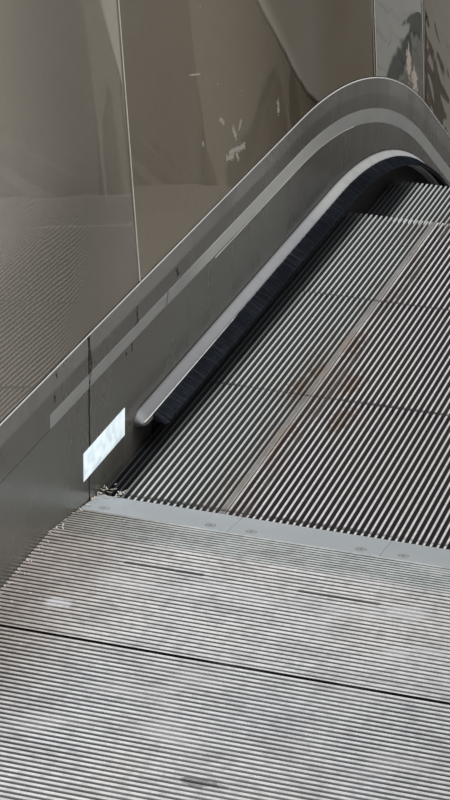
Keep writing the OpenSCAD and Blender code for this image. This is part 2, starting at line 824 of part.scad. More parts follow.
// Comb plate: tongue under the combs, ramp and level part
module comb_plate() {
    under = floor_h - cover_t;
    reach = skirt_y - comb_gap;
    outline = [[tongue_back, under], [tongue_back, comb_gap + tongue_t], [comb_len, comb_gap + tongue_t],
               [comb_len, comb_h], [ramp_len, floor_h], [plate_seam, floor_h], [plate_seam, under]];
    sheet(outline, -reach, 2 * reach);
}

module upper_comb_plate() {
    color("silver") placed() at_upper() comb_plate();
}

module lower_comb_plate() {
    color("silver") placed() at_lower() comb_plate();
}

// Lift-out covers, two between the skirts and one along each side past the base
module floor_covers(pit) {
    reach = skirt_y - comb_gap;
    wide_from = base_end + end_plate_t + floor_joint;
    second = plate_seam + floor_joint + cover_len;
    under = floor_h - cover_t;
    translate([plate_seam + floor_joint, -reach, under]) cube([cover_len - floor_joint, 2 * reach, cover_t]);
    translate([second, -reach, under]) cube([pit - second, 2 * reach, cover_t]);
    both_sides() translate([wide_from, reach + floor_joint, under])
        cube([pit - wide_from, truss_y - reach - floor_joint, cover_t]);
}

module upper_floor_covers() {
    color("silver") placed() at_upper() floor_covers(upper_pit);
}

module lower_floor_covers() {
    color("silver") placed() at_lower() floor_covers(lower_pit);
}

truss();
tracks();
upper_support();
lower_support();
soffit();
casing(1);  // left_casing
casing(-1);  // right_casing
posts();  // balustrade_posts
skirt(1);  // left_skirt
skirt(-1);  // right_skirt
band(1);  // left_band
band(-1);  // right_band
strips();
inner_panels(1);  // left_inner_panels
inner_panels(-1);  // right_inner_panels
outer_panels(1);  // left_outer_panels
outer_panels(-1);  // right_outer_panels
cap(1);  // left_cap
cap(-1);  // right_cap
handrail(1);  // left_handrail
handrail(-1);  // right_handrail
handrail_inlets();
brush_holder(1);  // left_brush_holder
brush_holder(-1);  // right_brush_holder
brushes();
comb_lights();
upper_combs();
lower_combs();
upper_comb_plate();
lower_comb_plate();
upper_floor_covers();
lower_floor_covers();
for (i = [1:step_count]) step(i);
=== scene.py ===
"""Looks of an escalator: grooved steps, combs, ribbed floor, mirror-polished balustrades, brushes and handrails."""

import logging
import math
from dataclasses import dataclass, field
from enum import Enum
from typing import Any, Callable, Optional, Sequence

import bpy
import numpy as np
from mathutils import Matrix, Vector


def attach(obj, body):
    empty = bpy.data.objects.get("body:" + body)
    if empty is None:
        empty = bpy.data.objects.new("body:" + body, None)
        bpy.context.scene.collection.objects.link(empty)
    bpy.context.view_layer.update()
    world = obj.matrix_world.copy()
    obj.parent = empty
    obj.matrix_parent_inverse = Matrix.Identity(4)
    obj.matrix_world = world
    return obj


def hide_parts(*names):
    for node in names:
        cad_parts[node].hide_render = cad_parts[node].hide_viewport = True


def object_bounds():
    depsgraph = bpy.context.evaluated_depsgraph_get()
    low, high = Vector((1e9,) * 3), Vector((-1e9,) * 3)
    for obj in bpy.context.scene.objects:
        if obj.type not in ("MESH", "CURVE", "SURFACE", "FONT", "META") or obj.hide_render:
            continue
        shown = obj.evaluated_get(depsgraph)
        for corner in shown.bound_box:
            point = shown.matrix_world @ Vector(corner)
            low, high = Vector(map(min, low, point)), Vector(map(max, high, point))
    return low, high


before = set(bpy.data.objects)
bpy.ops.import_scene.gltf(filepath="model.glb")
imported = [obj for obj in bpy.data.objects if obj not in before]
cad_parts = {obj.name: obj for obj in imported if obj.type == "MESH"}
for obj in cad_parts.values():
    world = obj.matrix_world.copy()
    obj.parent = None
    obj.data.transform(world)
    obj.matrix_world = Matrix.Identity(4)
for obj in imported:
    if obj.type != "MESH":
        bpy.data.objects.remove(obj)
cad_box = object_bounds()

log = logging.getLogger("escalator")

Array = np.ndarray
Colour = tuple[float, float, float]
Value = Any
Spot = tuple[Sequence[float], Sequence[float]]
Dash = tuple[Sequence[float], Sequence[float], float]

MM = 0.001
RUN_MAP = "run"
EVEN = (1.0, 1.0, 1.0)
OUTWARDS = np.array([-1.0, 1.0, 1.0])


class Side(Enum):
    """Side of the machine, as seen by a person looking down the run."""

    LEFT = 1
    RIGHT = -1

    @property
    def word(self) -> str:
        """Name used in pieces and nodes."""
        return self.name.lower()

    @property
    def turn(self) -> Array:
        """Factors that put points on this side."""
        return np.array([1.0, self.value, 1.0])


class End(Enum):
    """Landing of the machine."""

    UPPER = "upper"
    LOWER = "lower"


# Sizes shared by the sub-assemblies


@dataclass(frozen=True)
class RunLine:
    """Side view of the run: level, upper bend, incline, lower bend, level. Metres from the upper comb line.

    Args:
        flat: level length past the upper comb.
        r_top: radius of the upper bend.
        r_low: radius of the lower bend.
        rise: height between the landings.
        slope: angle of the incline.
    """

    flat: float
    r_top: float
    r_low: float
    rise: float = 2.14
    slope: float = math.radians(30)

    @property
    def corner(self) -> float:
        """Place where the level line and the incline would meet at the top."""
        return self.flat + self.r_top * math.tan(self.slope / 2)

    @property
    def foot(self) -> float:
        """Place where the lower bend ends."""
        return self.corner + self.rise / math.tan(self.slope) + self.r_low * math.tan(self.slope / 2)

    def height(self, x: Array, h: Array) -> Array:
        """Level of the line that lies h square above the run: h on the level, a circle of radius r_top + h round
        the upper centre, a straight at the slope, a circle of radius r_low - h, and h - rise.

        Args:
            x: places along the run.
            h: offset square to the run.
        Returns:
            Levels over the upper treads.
        """
        sine, tangent, cosine = math.sin(self.slope), math.tan(self.slope), math.cos(self.slope)
        up, down = self.r_top + h, self.r_low - h
        crest = np.sqrt(np.maximum(up**2 - (x - self.flat) ** 2, 0)) - self.r_top
        incline = h / cosine - (x - self.corner) * tangent
        trough = self.r_low - self.rise - np.sqrt(np.maximum(down**2 - (self.foot - x) ** 2, 0))
        return np.select(
            [x <= self.flat, x <= self.flat + up * sine, x <= self.foot - down * sine, x <= self.foot],
            [h + 0 * x, crest, incline, trough],
            h - self.rise + 0 * x,
        )

    def places(self, x0: float, x1: float, low: float, high: float, parts: int = 28) -> Array:
        """Places from x0 to x1, evenly close along both bends for offsets between low and high.

        Args:
            x0: first place.
            x1: last place.
            low: lowest offset carried along.
            high: highest offset carried along.
            parts: divisions of a bend.
        Returns:
            Rising places with both ends.
        """
        t = np.linspace(0, 1, parts + 1)
        sine = math.sin(self.slope)
        top = self.flat + (self.r_top + high) * sine * t
        low_bend = self.foot - (self.r_low - low) * sine * (1 - t)
        inner = np.concatenate([top, np.linspace(top[-1], low_bend[0], 8)[1:-1], low_bend])
        inner = inner[(inner > x0 + MM) & (inner < x1 - MM)]
        return np.concatenate([[x0], inner, [x1]])


@dataclass(frozen=True)
class Plan:
    """Sizes that several sub-assemblies share, in metres.

    Args:
        steps: run of the steps.
        side: run of the balustrade.
        first_nosing: place of the first nosing.
        pitch: distance between nosings.
        skirt: distance of the skirt's face from the middle.
        skirt_t: thickness of the skirt.
        wall: distance of the outer panels from the middle.
        sheet_t: thickness of the outer panels.
        joint: gap between two sheets.
        floor: level of a landing's floor over the treads.
        base_end: place where the balustrade's base ends.
        end_plate: thickness of the plate at the base's end.
        floor_joint: gap between two floor plates.
        band_top: height of the band's top edge.
        panel_top: height of the panels' top edge.
        lean: how far the inner panels lean outwards for each unit of height.
        seam: place of the first panel joint.
        bays: number of whole panel bays.
        short_bay: length of the short inner sheet.
        newel_x: place of a newel's centre.
        newel_h: height of a newel's centre.
        skirt_seam: place of the skirt's first joint.
    """

    steps: RunLine = RunLine(1.155, 1.5, 1.2)
    side: RunLine = RunLine(0.95, 1.66, 2.66)
    first_nosing: float = 0.011
    pitch: float = 0.4
    skirt: float = 0.5015
    skirt_t: float = 0.006
    wall: float = 0.694
    sheet_t: float = 0.003
    joint: float = 0.002
    floor: float = 0.029
    base_end: float = 0.76
    end_plate: float = 0.015
    floor_joint: float = 0.003
    band_top: float = 0.240
    panel_top: float = 0.9522
    lean: float = math.tan(math.radians(4.7))
    seam: float = 0.162
    bays: int = 5
    short_bay: float = 0.398
    newel_x: float = 0.790
    newel_h: float = 0.640
    skirt_seam: float = 0.030

    @property
    def comb_x(self) -> float:
        """Place of the lower comb line."""
        return self.steps.foot + self.steps.flat

    @property
    def origin(self) -> Array:
        """Shift from the upper comb line at tread level to the part's own origin."""
        return np.array([-(self.comb_x + 2.08), 0.0, 2.3])

    @property
    def seams(self) -> Array:
        """Places of the panel joints."""
        return np.linspace(self.seam, self.comb_x - self.seam, self.bays + 1)

    @property
    def inner_seams(self) -> Array:
        """Places of the inner panels' joints, with a short sheet at the end of each bend."""
        return np.sort([*self.seams, self.seams[1] + self.short_bay, self.seams[-2] - self.short_bay])

    @property
    def newel_r(self) -> float:
        """Radius of the round end of a panel."""
        return self.panel_top - self.newel_h

    def lean_y(self, h: Array) -> Array:
        """Distance of the leaning panel's face from the middle at height h: skirt + lean (h - band top)."""
        return self.skirt + (h - self.band_top) * self.lean


PLAN = Plan()


# Mesh building


def rounded(section: Array, radius: float, parts: int = 4) -> Array:
    """Section with its corners rounded by quadratic curves (1-t)^2 A + 2t(1-t) C + t^2 B, where C is the corner and
    A and B lie on its two edges at the given radius, or at 45% of a shorter edge.

    Args:
        section: corner points, one a row.
        radius: distance from a corner at which its curve starts.
        parts: spans of each curve.
    Returns:
        Points of the rounded section.
    """
    before, after = np.roll(section, 1, 0) - section, np.roll(section, -1, 0) - section
    reach_a = np.minimum(radius, 0.45 * np.linalg.norm(before, axis=1))[:, None]
    reach_b = np.minimum(radius, 0.45 * np.linalg.norm(after, axis=1))[:, None]
    a = section + before / np.linalg.norm(before, axis=1)[:, None] * reach_a
    b = section + after / np.linalg.norm(after, axis=1)[:, None] * reach_b
    t = np.linspace(0, 1, parts + 1)[None, :, None]
    curve = (1 - t) ** 2 * a[:, None] + 2 * t * (1 - t) * section[:, None] + t**2 * b[:, None]
    return curve.reshape(-1, section.shape[1])


def enclosed(points: Array, faces: Sequence[Array]) -> float:
    """Six times the volume inside closed faces: the sum of p0 . (p1 x p2) over triangles fanned from each face's p0."""
    corners = [points[f] for f in faces]
    return sum((c[:, :1] * np.cross(c[:, 1:-1], c[:, 2:])).sum() for c in corners)


def carried(line: RunLine, xs: Array, section: Array) -> tuple[Array, Array]:
    """Section carried along the run: at each place x its points lie at x, skirt - reach and the level of its height.

    Args:
        line: side view of the run.
        xs: places along the run.
        section: points as (reach from the skirt, height over the run).
    Returns:
        Rings (place, point, xyz) and their map values.
    """
    x = np.broadcast_to(xs[:, None], (len(xs), len(section)))
    high = np.broadcast_to(section[:, 1], x.shape)
    rings = np.stack([x, np.broadcast_to(PLAN.skirt - section[:, 0], x.shape), line.height(x, high)], -1)
    return rings, np.stack([x, high], -1)


class Shell:
    """Closed forms gathered into one piece, in metres from the upper comb line at tread level."""

    def __init__(self, name: str) -> None:
        """Starts an empty piece with its name."""
        self.name = name
        self.points: list[Array] = []
        self.maps: list[Array] = []
        self.faces: list[tuple[Array, int]] = []
        self.count = 0

    def tube(self, rings: Array, run: Optional[Array] = None, loop: bool = False, finish: int = 0) -> None:
        """Skin through rings of points: face (i, j) joins point j and j + 1 of ring i to those of ring i + 1. The
        faces are turned outwards by the sign of the enclosed volume, the sum of p0 . (p1 x p2) / 6 over triangles.

        Args:
            rings: points as (ring, point, xyz).
            run: map values as (ring, point, 2), or None for x and z.
            loop: joins the last ring to the first; without it the ends are closed.
            finish: index of the finish among those given to build.
        """
        n, k = rings.shape[:2]
        i, j = np.arange(n if loop else n - 1)[:, None], np.arange(k)[None, :]
        step, turn = (i + 1) % n * k, (j + 1) % k
        faces = [np.stack([i * k + j, i * k + turn, step + turn, step + j], -1).reshape(-1, 4)]
        if not loop:
            faces += [np.arange(k)[None, ::-1], np.arange(k)[None, :] + (n - 1) * k]
        points = rings.reshape(-1, 3)
        if enclosed(points, faces) < 0:
            faces = [f[:, ::-1] for f in faces]
        flat = points[:, [0, 2]] if run is None else run.reshape(-1, 2)
        self.points.append(points)
        self.maps.append(flat)
        self.faces += [(f + self.count, finish) for f in faces]
        self.count += len(points)

    def prism(self, outline: Array, y0: Array, y1: Array, place: Callable[[Array], Array], finish: int = 0) -> None:
        """Plate with an outline in x and z between two distances from the middle, which may change over the outline.

        Args:
            outline: points as (x, z).
            y0: distance of the first face at each point.
            y1: distance of the second face at each point.
            place: moves the points to their place.
            finish: index of the finish.
        """
        rings = np.stack([np.insert(outline, 1, y, axis=1) for y in (y0, y1)])
        placed = place(rings)
        run = np.stack([placed[..., 0], np.broadcast_to(outline[:, 1], rings.shape[:2])], -1)
        self.tube(placed, run, finish=finish)

    def build(
        self, finishes: Sequence[bpy.types.Material], slot: str, nodes: Sequence[str] = (), crease: float = 35
    ) -> bpy.types.Object:
        """Makes the object, gives it its finishes and lets it stand for its CAD nodes.

        Args:
            finishes: materials in the order of their index.
            slot: the record's material slot; not used.
            nodes: CAD nodes that the piece stands for.
            crease: angle in degrees from which an edge stays sharp.
        Returns:
            The finished object.
        """
        points = np.concatenate(self.points) + PLAN.origin
        maps = np.concatenate(self.maps)
        loops = np.concatenate([f.ravel() for f, _ in self.faces])
        sizes = np.concatenate([np.full(len(f), f.shape[1]) for f, _ in self.faces])
        marks = np.concatenate([np.full(len(f), mark) for f, mark in self.faces])
        mesh = bpy.data.meshes.new(self.name)
        mesh.vertices.add(len(points))
        mesh.vertices.foreach_set("co", points.astype(np.float32).ravel())
        mesh.loops.add(len(loops))
        mesh.loops.foreach_set("vertex_index", loops.astype(np.int32))
        mesh.polygons.add(len(sizes))
        mesh.polygons.foreach_set("loop_start", (np.cumsum(sizes) - sizes).astype(np.int32))
        mesh.polygons.foreach_set("material_index", marks.astype(np.int32))
        mesh.polygons.foreach_set("use_smooth", np.ones(len(sizes), bool))
        mesh.update(calc_edges=True)
        layer = mesh.uv_layers.new(name=RUN_MAP)
        layer.uv.foreach_set("vector", maps[loops].astype(np.float32).ravel())
        mesh.validate()
        mesh.set_sharp_from_angle(angle=math.radians(crease))
        for finish in finishes:
            mesh.materials.append(finish)
        piece = bpy.data.objects.new(self.name, mesh)
        bpy.context.scene.collection.objects.link(piece)
        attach(piece, "root")
        if nodes:
            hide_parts(*nodes)
        triangles = int((sizes - 2).sum())
        log.info("%s: %d points, %d triangles", self.name, len(points), triangles)
        return piece


# Shader nodes


def toned(colour: Colour, share: float) -> Colour:
    """Colour made darker or lighter by a share."""
    return tuple(share * c for c in colour)


class Wire:
    """Builds a shader tree with few words."""

    def __init__(self, tree: bpy.types.NodeTree) -> None:
        """Keeps the tree to work on."""
        self.tree = tree

    def feed(self, socket: bpy.types.NodeSocket, value: Value) -> None:
        """Links a socket into another or sets its number, vector or colour."""
        if isinstance(value, bpy.types.NodeSocket):
            self.tree.links.new(value, socket)
        elif socket.type == "RGBA":
            socket.default_value = (*value, 1.0)
        else:
            socket.default_value = value

    def node(self, kind: str, settings: Optional[dict[str, Value]] = None, **inputs: Value) -> bpy.types.Node:
        """Adds a node.

        Args:
            kind: the node's type.
            settings: its own properties.
            inputs: values or sockets for its inputs, with _ for a space.
        Returns:
            The node.
        """
        made = self.tree.nodes.new(kind)
        for key, value in (settings or {}).items():
            setattr(made, key, value)
        for key, value in inputs.items():
            self.feed(made.inputs[key.replace("_", " ")], value)
        return made

    def mix(self, factor: Value, first: Value, second: Value, blend: str = "MIX") -> bpy.types.NodeSocket:
        """Colour between two, by a factor."""
        made = self.node("ShaderNodeMix", {"data_type": "RGBA", "blend_type": blend})
        for index, value in ((0, factor), (6, first), (7, second)):
            self.feed(made.inputs[index], value)
        return made.outputs[2]

    def sum(self, kind: str, first: Value, second: Value) -> bpy.types.NodeSocket:
        """Result of a math node on two values."""
        made = self.node("ShaderNodeMath", {"operation": kind})
        for index, value in ((0, first), (1, second)):
            self.feed(made.inputs[index], value)
        return made.outputs[0]

    def times(self, first: Value, second: Value) -> bpy.types.NodeSocket:
        """Product of two values."""
        return self.sum("MULTIPLY", first, second)

    def apart(self, first: Value, second: Value) -> bpy.types.NodeSocket:
        """Distance between two values."""
        return self.sum("ABSOLUTE", self.sum("SUBTRACT", first, second), 0.0)

    def part(self, vector: Value, axis: str) -> bpy.types.NodeSocket:
        """One part of a vector, by the name of its axis."""
        return self.node("ShaderNodeSeparateXYZ", Vector=vector).outputs[axis]

    def spread(self, value: Value, low: Value, high: Value, first: float = 0, last: float = 1) -> bpy.types.NodeSocket:
        """Smooth step of a value from low to high, given out between first and last."""
        made = self.node("ShaderNodeMapRange", {"interpolation_type": "SMOOTHSTEP"}, Value=value)
        for index, limit in ((1, low), (2, high), (3, first), (4, last)):
            self.feed(made.inputs[index], limit)
        return made.outputs[0]

    def vector(self, kind: str, first: Value, second: Value = (0.0, 0.0, 0.0)) -> bpy.types.NodeSocket:
        """Result of a vector math node on two values; for SCALE the second is a number."""
        made = self.node("ShaderNodeVectorMath", {"operation": kind})
        self.feed(made.inputs[0], first)
        self.feed(made.inputs[3 if kind == "SCALE" else 1], second)
        return made.outputs[1 if kind in ("DOT_PRODUCT", "LENGTH") else 0]

    def bands(self, value: Value, stops: Sequence[tuple[float, Colour]]) -> Value:
        """Colour that changes in steps.

        Args:
            value: what it depends on.
            stops: rising values with the colour from there on.
        Returns:
            The colour.
        """
        colour: Value = stops[0][1]
        for start, tone in stops[1:]:
            colour = self.mix(self.sum("GREATER_THAN", value, float(start)), colour, tone)
        return colour

    def group(self, shared: bpy.types.NodeTree, output: str, **inputs: Value) -> bpy.types.NodeSocket:
        """Places a shared group with its own values and gives one of its outputs."""
        made = self.node("ShaderNodeGroup", {"node_tree": shared})
        for key, value in inputs.items():
            self.feed(made.inputs[key], value)
        return made.outputs[output]


def start_group(name: str, inputs: dict[str, Value], outputs: Sequence[str]) -> tuple[Wire, Value, Value]:
    """Starts a shared shader group.

    Args:
        name: the group's name.
        inputs: names with default values; three numbers make a vector.
        outputs: names of the values it gives.
    Returns:
        The wire, the group's input node and its output node.
    """
    tree = bpy.data.node_groups.new(name, "ShaderNodeTree")
    for key, value in inputs.items():
        kind = "NodeSocketVector" if isinstance(value, tuple) else "NodeSocketFloat"
        tree.interface.new_socket(name=key, in_out="INPUT", socket_type=kind).default_value = value
    for key in outputs:
        tree.interface.new_socket(name=key, in_out="OUTPUT", socket_type="NodeSocketFloat")
    wire = Wire(tree)
    return wire, wire.node("NodeGroupInput"), wire.node("NodeGroupOutput")


class Effects:
    """Shared shader groups, each built once."""

    def __init__(self) -> None:
        """Builds all the groups."""
        self.cloud = self._cloud()
        self.fleck = self._fleck()
        self.stroke = self._stroke()
        self.ripple = self._ripple()
        self.relief = self._relief()
        self.spot = self._spot()
        self.dash = self._dash()

    @staticmethod
    def _cloud() -> bpy.types.NodeTree:
        """Soft patches: a noise stretched by a vector and cut between two levels."""
        inputs = {"Vector": (0.0, 0.0, 0.0), "Stretch": (1.0, 1.0, 1.0), "Scale": 4.0, "Low": 0.4, "High": 0.6}
        wire, given, out = start_group("Cloud", inputs, ["Mask"])
        place = wire.vector("MULTIPLY", given.outputs["Vector"], given.outputs["Stretch"])
        noise = wire.node("ShaderNodeTexNoise", Vector=place, Scale=given.outputs["Scale"], Detail=4.0)
        cut = wire.spread(noise.outputs[0], given.outputs["Low"], given.outputs["High"])
        wire.feed(out.inputs["Mask"], cut)
        return wire.tree

    @staticmethod
    def _fleck() -> bpy.types.NodeTree:
        """Scattered specks: cells whose own random value is high, cut to a small distance from the cell's point."""
        inputs = {"Vector": (0.0, 0.0, 0.0), "Stretch": (1.0, 1.0, 1.0), "Scale": 60.0, "Size": 0.2, "Rare": 0.8}
        wire, given, out = start_group("Fleck", inputs, ["Mask"])
        place = wire.vector("MULTIPLY", given.outputs["Vector"], given.outputs["Stretch"])
        cell = wire.node("ShaderNodeTexVoronoi", Vector=place, Scale=given.outputs["Scale"])
        near = wire.spread(cell.outputs["Distance"], given.outputs["Size"], 0.0)
        split = wire.node("ShaderNodeSeparateColor", Color=cell.outputs["Color"])
        rare = wire.sum("GREATER_THAN", split.outputs[0], given.outputs["Rare"])
        wire.feed(out.inputs["Mask"], wire.times(near, rare))
        return wire.tree

    @staticmethod
    def _stroke() -> bpy.types.NodeTree:
        """Hairline scratches: thin level lines of a stretched noise, kept where a second noise is high."""
        inputs = {"Vector": (0.0, 0.0, 0.0), "Stretch": (1.0, 1.0, 1.0), "Scale": 8.0, "Width": 0.01, "Keep": 0.55}
        wire, given, out = start_group("Stroke", inputs, ["Mask"])
        place = wire.vector("MULTIPLY", given.outputs["Vector"], given.outputs["Stretch"])
        noise = wire.node("ShaderNodeTexNoise", Vector=place, Scale=given.outputs["Scale"], Detail=1.0)
        away = wire.apart(noise.outputs[0], 0.5)
        line = wire.spread(away, given.outputs["Width"], 0.0)
        other = wire.node("ShaderNodeTexNoise", Vector=given.outputs["Vector"], Scale=7.0, Detail=3.0)
        kept = wire.spread(other.outputs[0], given.outputs["Keep"], wire.sum("ADD", given.outputs["Keep"], 0.1))
        wire.feed(out.inputs["Mask"], wire.times(line, kept))
        return wire.tree

    @staticmethod
    def _ripple() -> bpy.types.NodeTree:
        """Unevenness of a thin polished sheet: a slow and a quicker noise added together."""
        inputs = {"Vector": (0.0, 0.0, 0.0), "Stretch": (1.0, 1.0, 1.0), "Scale": 2.0, "Quick": 0.2}
        wire, given, out = start_group("Ripple", inputs, ["Height"])
        place = wire.vector("MULTIPLY", given.outputs["Vector"], given.outputs["Stretch"])
        slow = wire.node("ShaderNodeTexNoise", Vector=place, Scale=given.outputs["Scale"], Detail=1.0)
        fast_scale = wire.times(given.outputs["Scale"], 5.0)
        fast = wire.node("ShaderNodeTexNoise", Vector=place, Scale=fast_scale, Detail=1.0)
        share = wire.times(fast.outputs[0], given.outputs["Quick"])
        wire.feed(out.inputs["Height"], wire.sum("ADD", slow.outputs[0], share))
        return wire.tree

    @staticmethod
    def _relief() -> bpy.types.NodeTree:
        """Crest of a cleat or rib: 1 on the crest, falling to 0 within a share of the groove's depth."""
        inputs = {"Run": (0.0, 0.0, 0.0), "Depth": 0.01, "Edge": 0.4}
        wire, given, out = start_group("Relief", inputs, ["Crest", "Slot"])
        split = wire.node("ShaderNodeSeparateXYZ", Vector=given.outputs["Run"])
        share = wire.sum("DIVIDE", split.outputs["Y"], given.outputs["Depth"])
        wire.feed(out.inputs["Crest"], wire.spread(share, given.outputs["Edge"], 0.02))
        wire.feed(out.inputs["Slot"], wire.spread(share, 1.05, 1.6))
        return wire.tree

    @staticmethod
    def _spot() -> bpy.types.NodeTree:
        """One ragged spot: distance from a centre, each axis divided by its reach, with a noise added, cut at 1."""
        inputs = {"Vector": (0.0, 0.0, 0.0), "Centre": (0.0, 0.0, 0.0), "Per": (1.0, 1.0, 1.0), "Ragged": 0.6}
        wire, given, out = start_group("Spot", inputs, ["Mask"])
        away = wire.vector("SUBTRACT", given.outputs["Vector"], given.outputs["Centre"])
        length = wire.vector("LENGTH", wire.vector("MULTIPLY", away, given.outputs["Per"]))
        noise = wire.node("ShaderNodeTexNoise", Vector=given.outputs["Vector"], Scale=90.0, Detail=3.0)
        shift = wire.times(wire.sum("SUBTRACT", noise.outputs[0], 0.5), given.outputs["Ragged"])
        ragged = wire.sum("ADD", length, wire.times(shift, 2.0))
        wire.feed(out.inputs["Mask"], wire.spread(ragged, 1.1, 0.7))
        return wire.tree

    @staticmethod
    def _dash() -> bpy.types.NodeTree:
        """Short ragged stroke: distance from the segment that starts at a point and goes on by a span, which is
        |p - s clamp(p . s / s . s)| for p taken from the start, with a noise added, cut at the width."""
        zero = (0.0, 0.0, 0.0)
        inputs = {"Vector": zero, "Start": zero, "Span": (1.0, 0.0, 0.0), "Width": 0.003, "Ragged": 0.5}
        wire, given, out = start_group("Dash", inputs, ["Mask"])
        span, width = given.outputs["Span"], given.outputs["Width"]
        away = wire.vector("SUBTRACT", given.outputs["Vector"], given.outputs["Start"])
        share = wire.sum("DIVIDE", wire.vector("DOT_PRODUCT", away, span), wire.vector("DOT_PRODUCT", span, span))
        share = wire.sum("MINIMUM", wire.sum("MAXIMUM", share, 0.0), 1.0)
        off = wire.vector("LENGTH", wire.vector("SUBTRACT", away, wire.vector("SCALE", span, share)))
        noise = wire.node("ShaderNodeTexNoise", Vector=given.outputs["Vector"], Scale=240.0, Detail=2.0)
        shift = wire.times(wire.sum("SUBTRACT", noise.outputs[0], 0.5), given.outputs["Ragged"])
        ragged = wire.sum("ADD", off, wire.times(wire.times(shift, 4.0), width))
        wire.feed(out.inputs["Mask"], wire.spread(ragged, width, wire.times(width, 0.35)))
        return wire.tree


EFFECTS = Effects()


class Surface:
    """Material with its Principled shader, its coordinates and a wire."""

    def __init__(self, name: str, **sockets: Value) -> None:
        """Makes the material and sets constant sockets of the shader, with _ for a space."""
        self.material = bpy.data.materials.new(name)
        self.material.use_nodes = True
        self.wire = Wire(self.material.node_tree)
        self.shader = self.material.node_tree.nodes["Principled BSDF"]
        self.set(**sockets)
        self.place = self.wire.node("ShaderNodeTexCoord").outputs["Object"]
        self.run = self.wire.node("ShaderNodeUVMap", {"uv_map": RUN_MAP}).outputs["UV"]

    def set(self, **sockets: Value) -> None:
        """Sets or links sockets of the shader, with _ for a space."""
        for key, value in sockets.items():
            self.wire.feed(self.shader.inputs[key.replace("_", " ")], value)

    def cloud(self, scale: float, low: float, high: float, stretch: Sequence[float] = EVEN) -> Value:
        """Mask of soft patches, by the noise's scale, the two levels of its cut and its stretch."""
        sizes = {"Scale": scale, "Low": low, "High": high}
        return self.wire.group(EFFECTS.cloud, "Mask", Vector=self.place, Stretch=stretch, **sizes)

    def fleck(self, scale: float, size: float, rare: float, stretch: Sequence[float] = EVEN) -> Value:
        """Mask of scattered specks, by the cells' scale, the specks' size, the share left out and the stretch."""
        sizes = {"Scale": scale, "Size": size, "Rare": rare}
        return self.wire.group(EFFECTS.fleck, "Mask", Vector=self.place, Stretch=stretch, **sizes)

    def stroke(self, scale: float, width: float, keep: float, stretch: Sequence[float] = EVEN) -> Value:
        """Mask of hairline scratches, by the noise's scale, their width, the level that keeps them and the stretch."""
        sizes = {"Scale": scale, "Width": width, "Keep": keep}
        return self.wire.group(EFFECTS.stroke, "Mask", Vector=self.place, Stretch=stretch, **sizes)

    def ripple(self, scale: float, quick: float, stretch: Sequence[float] = EVEN) -> Value:
        """Height of a thin sheet's unevenness, by the noise's scale, the share of the quicker one and the stretch."""
        sizes = {"Scale": scale, "Quick": quick}
        return self.wire.group(EFFECTS.ripple, "Height", Vector=self.place, Stretch=stretch, **sizes)

    def spot(self, vector: Value, centre: Sequence[float], reach: Sequence[float], ragged: float = 0.6) -> Value:
        """Mask of one ragged spot at a centre, with its reach along each axis."""
        centre, reach = (*centre, 0.0)[:3], (*reach, 1.0)[:3]
        per = tuple(1 / r for r in reach)
        return self.wire.group(EFFECTS.spot, "Mask", Vector=vector, Centre=centre, Per=per, Ragged=ragged)

    def spots(
        self, vector: Value, places: Sequence[Spot], ragged: float = 0.6
    ) -> Value:
        """Mask of several ragged spots."""
        mask: Value = 0.0
        for centre, reach in places:
            mask = self.wire.sum("MAXIMUM", self.spot(vector, centre, reach, ragged), mask)
        return mask

    def dashes(self, marks: Sequence[Dash], ragged: float = 0.6) -> Value:
        """Mask of short strokes on the run map, each from a point to a point with half its width."""
        mask: Value = 0.0
        for (x0, h0), (x1, h1), width in marks:
            line = {"Start": (x0, h0, 0.0), "Span": (x1 - x0, h1 - h0, 0.0), "Width": width}
            dash = self.wire.group(EFFECTS.dash, "Mask", Vector=self.run, Ragged=ragged, **line)
            mask = self.wire.sum("MAXIMUM", dash, mask)
        return mask

    def stretch(self, stops: Sequence[float]) -> Value:
        """1 between the two middle stops past either comb line, 0 before the first and after the last."""
        w, half = self.wire, PLAN.comb_x / 2
        along = w.part(self.run, "X")
        away = w.apart(along, half)
        start, full, fall, stop = (half - s for s in stops)
        return w.times(w.spread(away, start, full), w.spread(away, stop, fall))

    def bump(self, height: Value, strength: float, distance: float) -> None:
        """Feeds the normal from a height through a Bump node."""
        made = self.wire.node("ShaderNodeBump", Height=height, Strength=strength, Distance=distance)
        self.set(Normal=made.outputs[0])


# Finishes


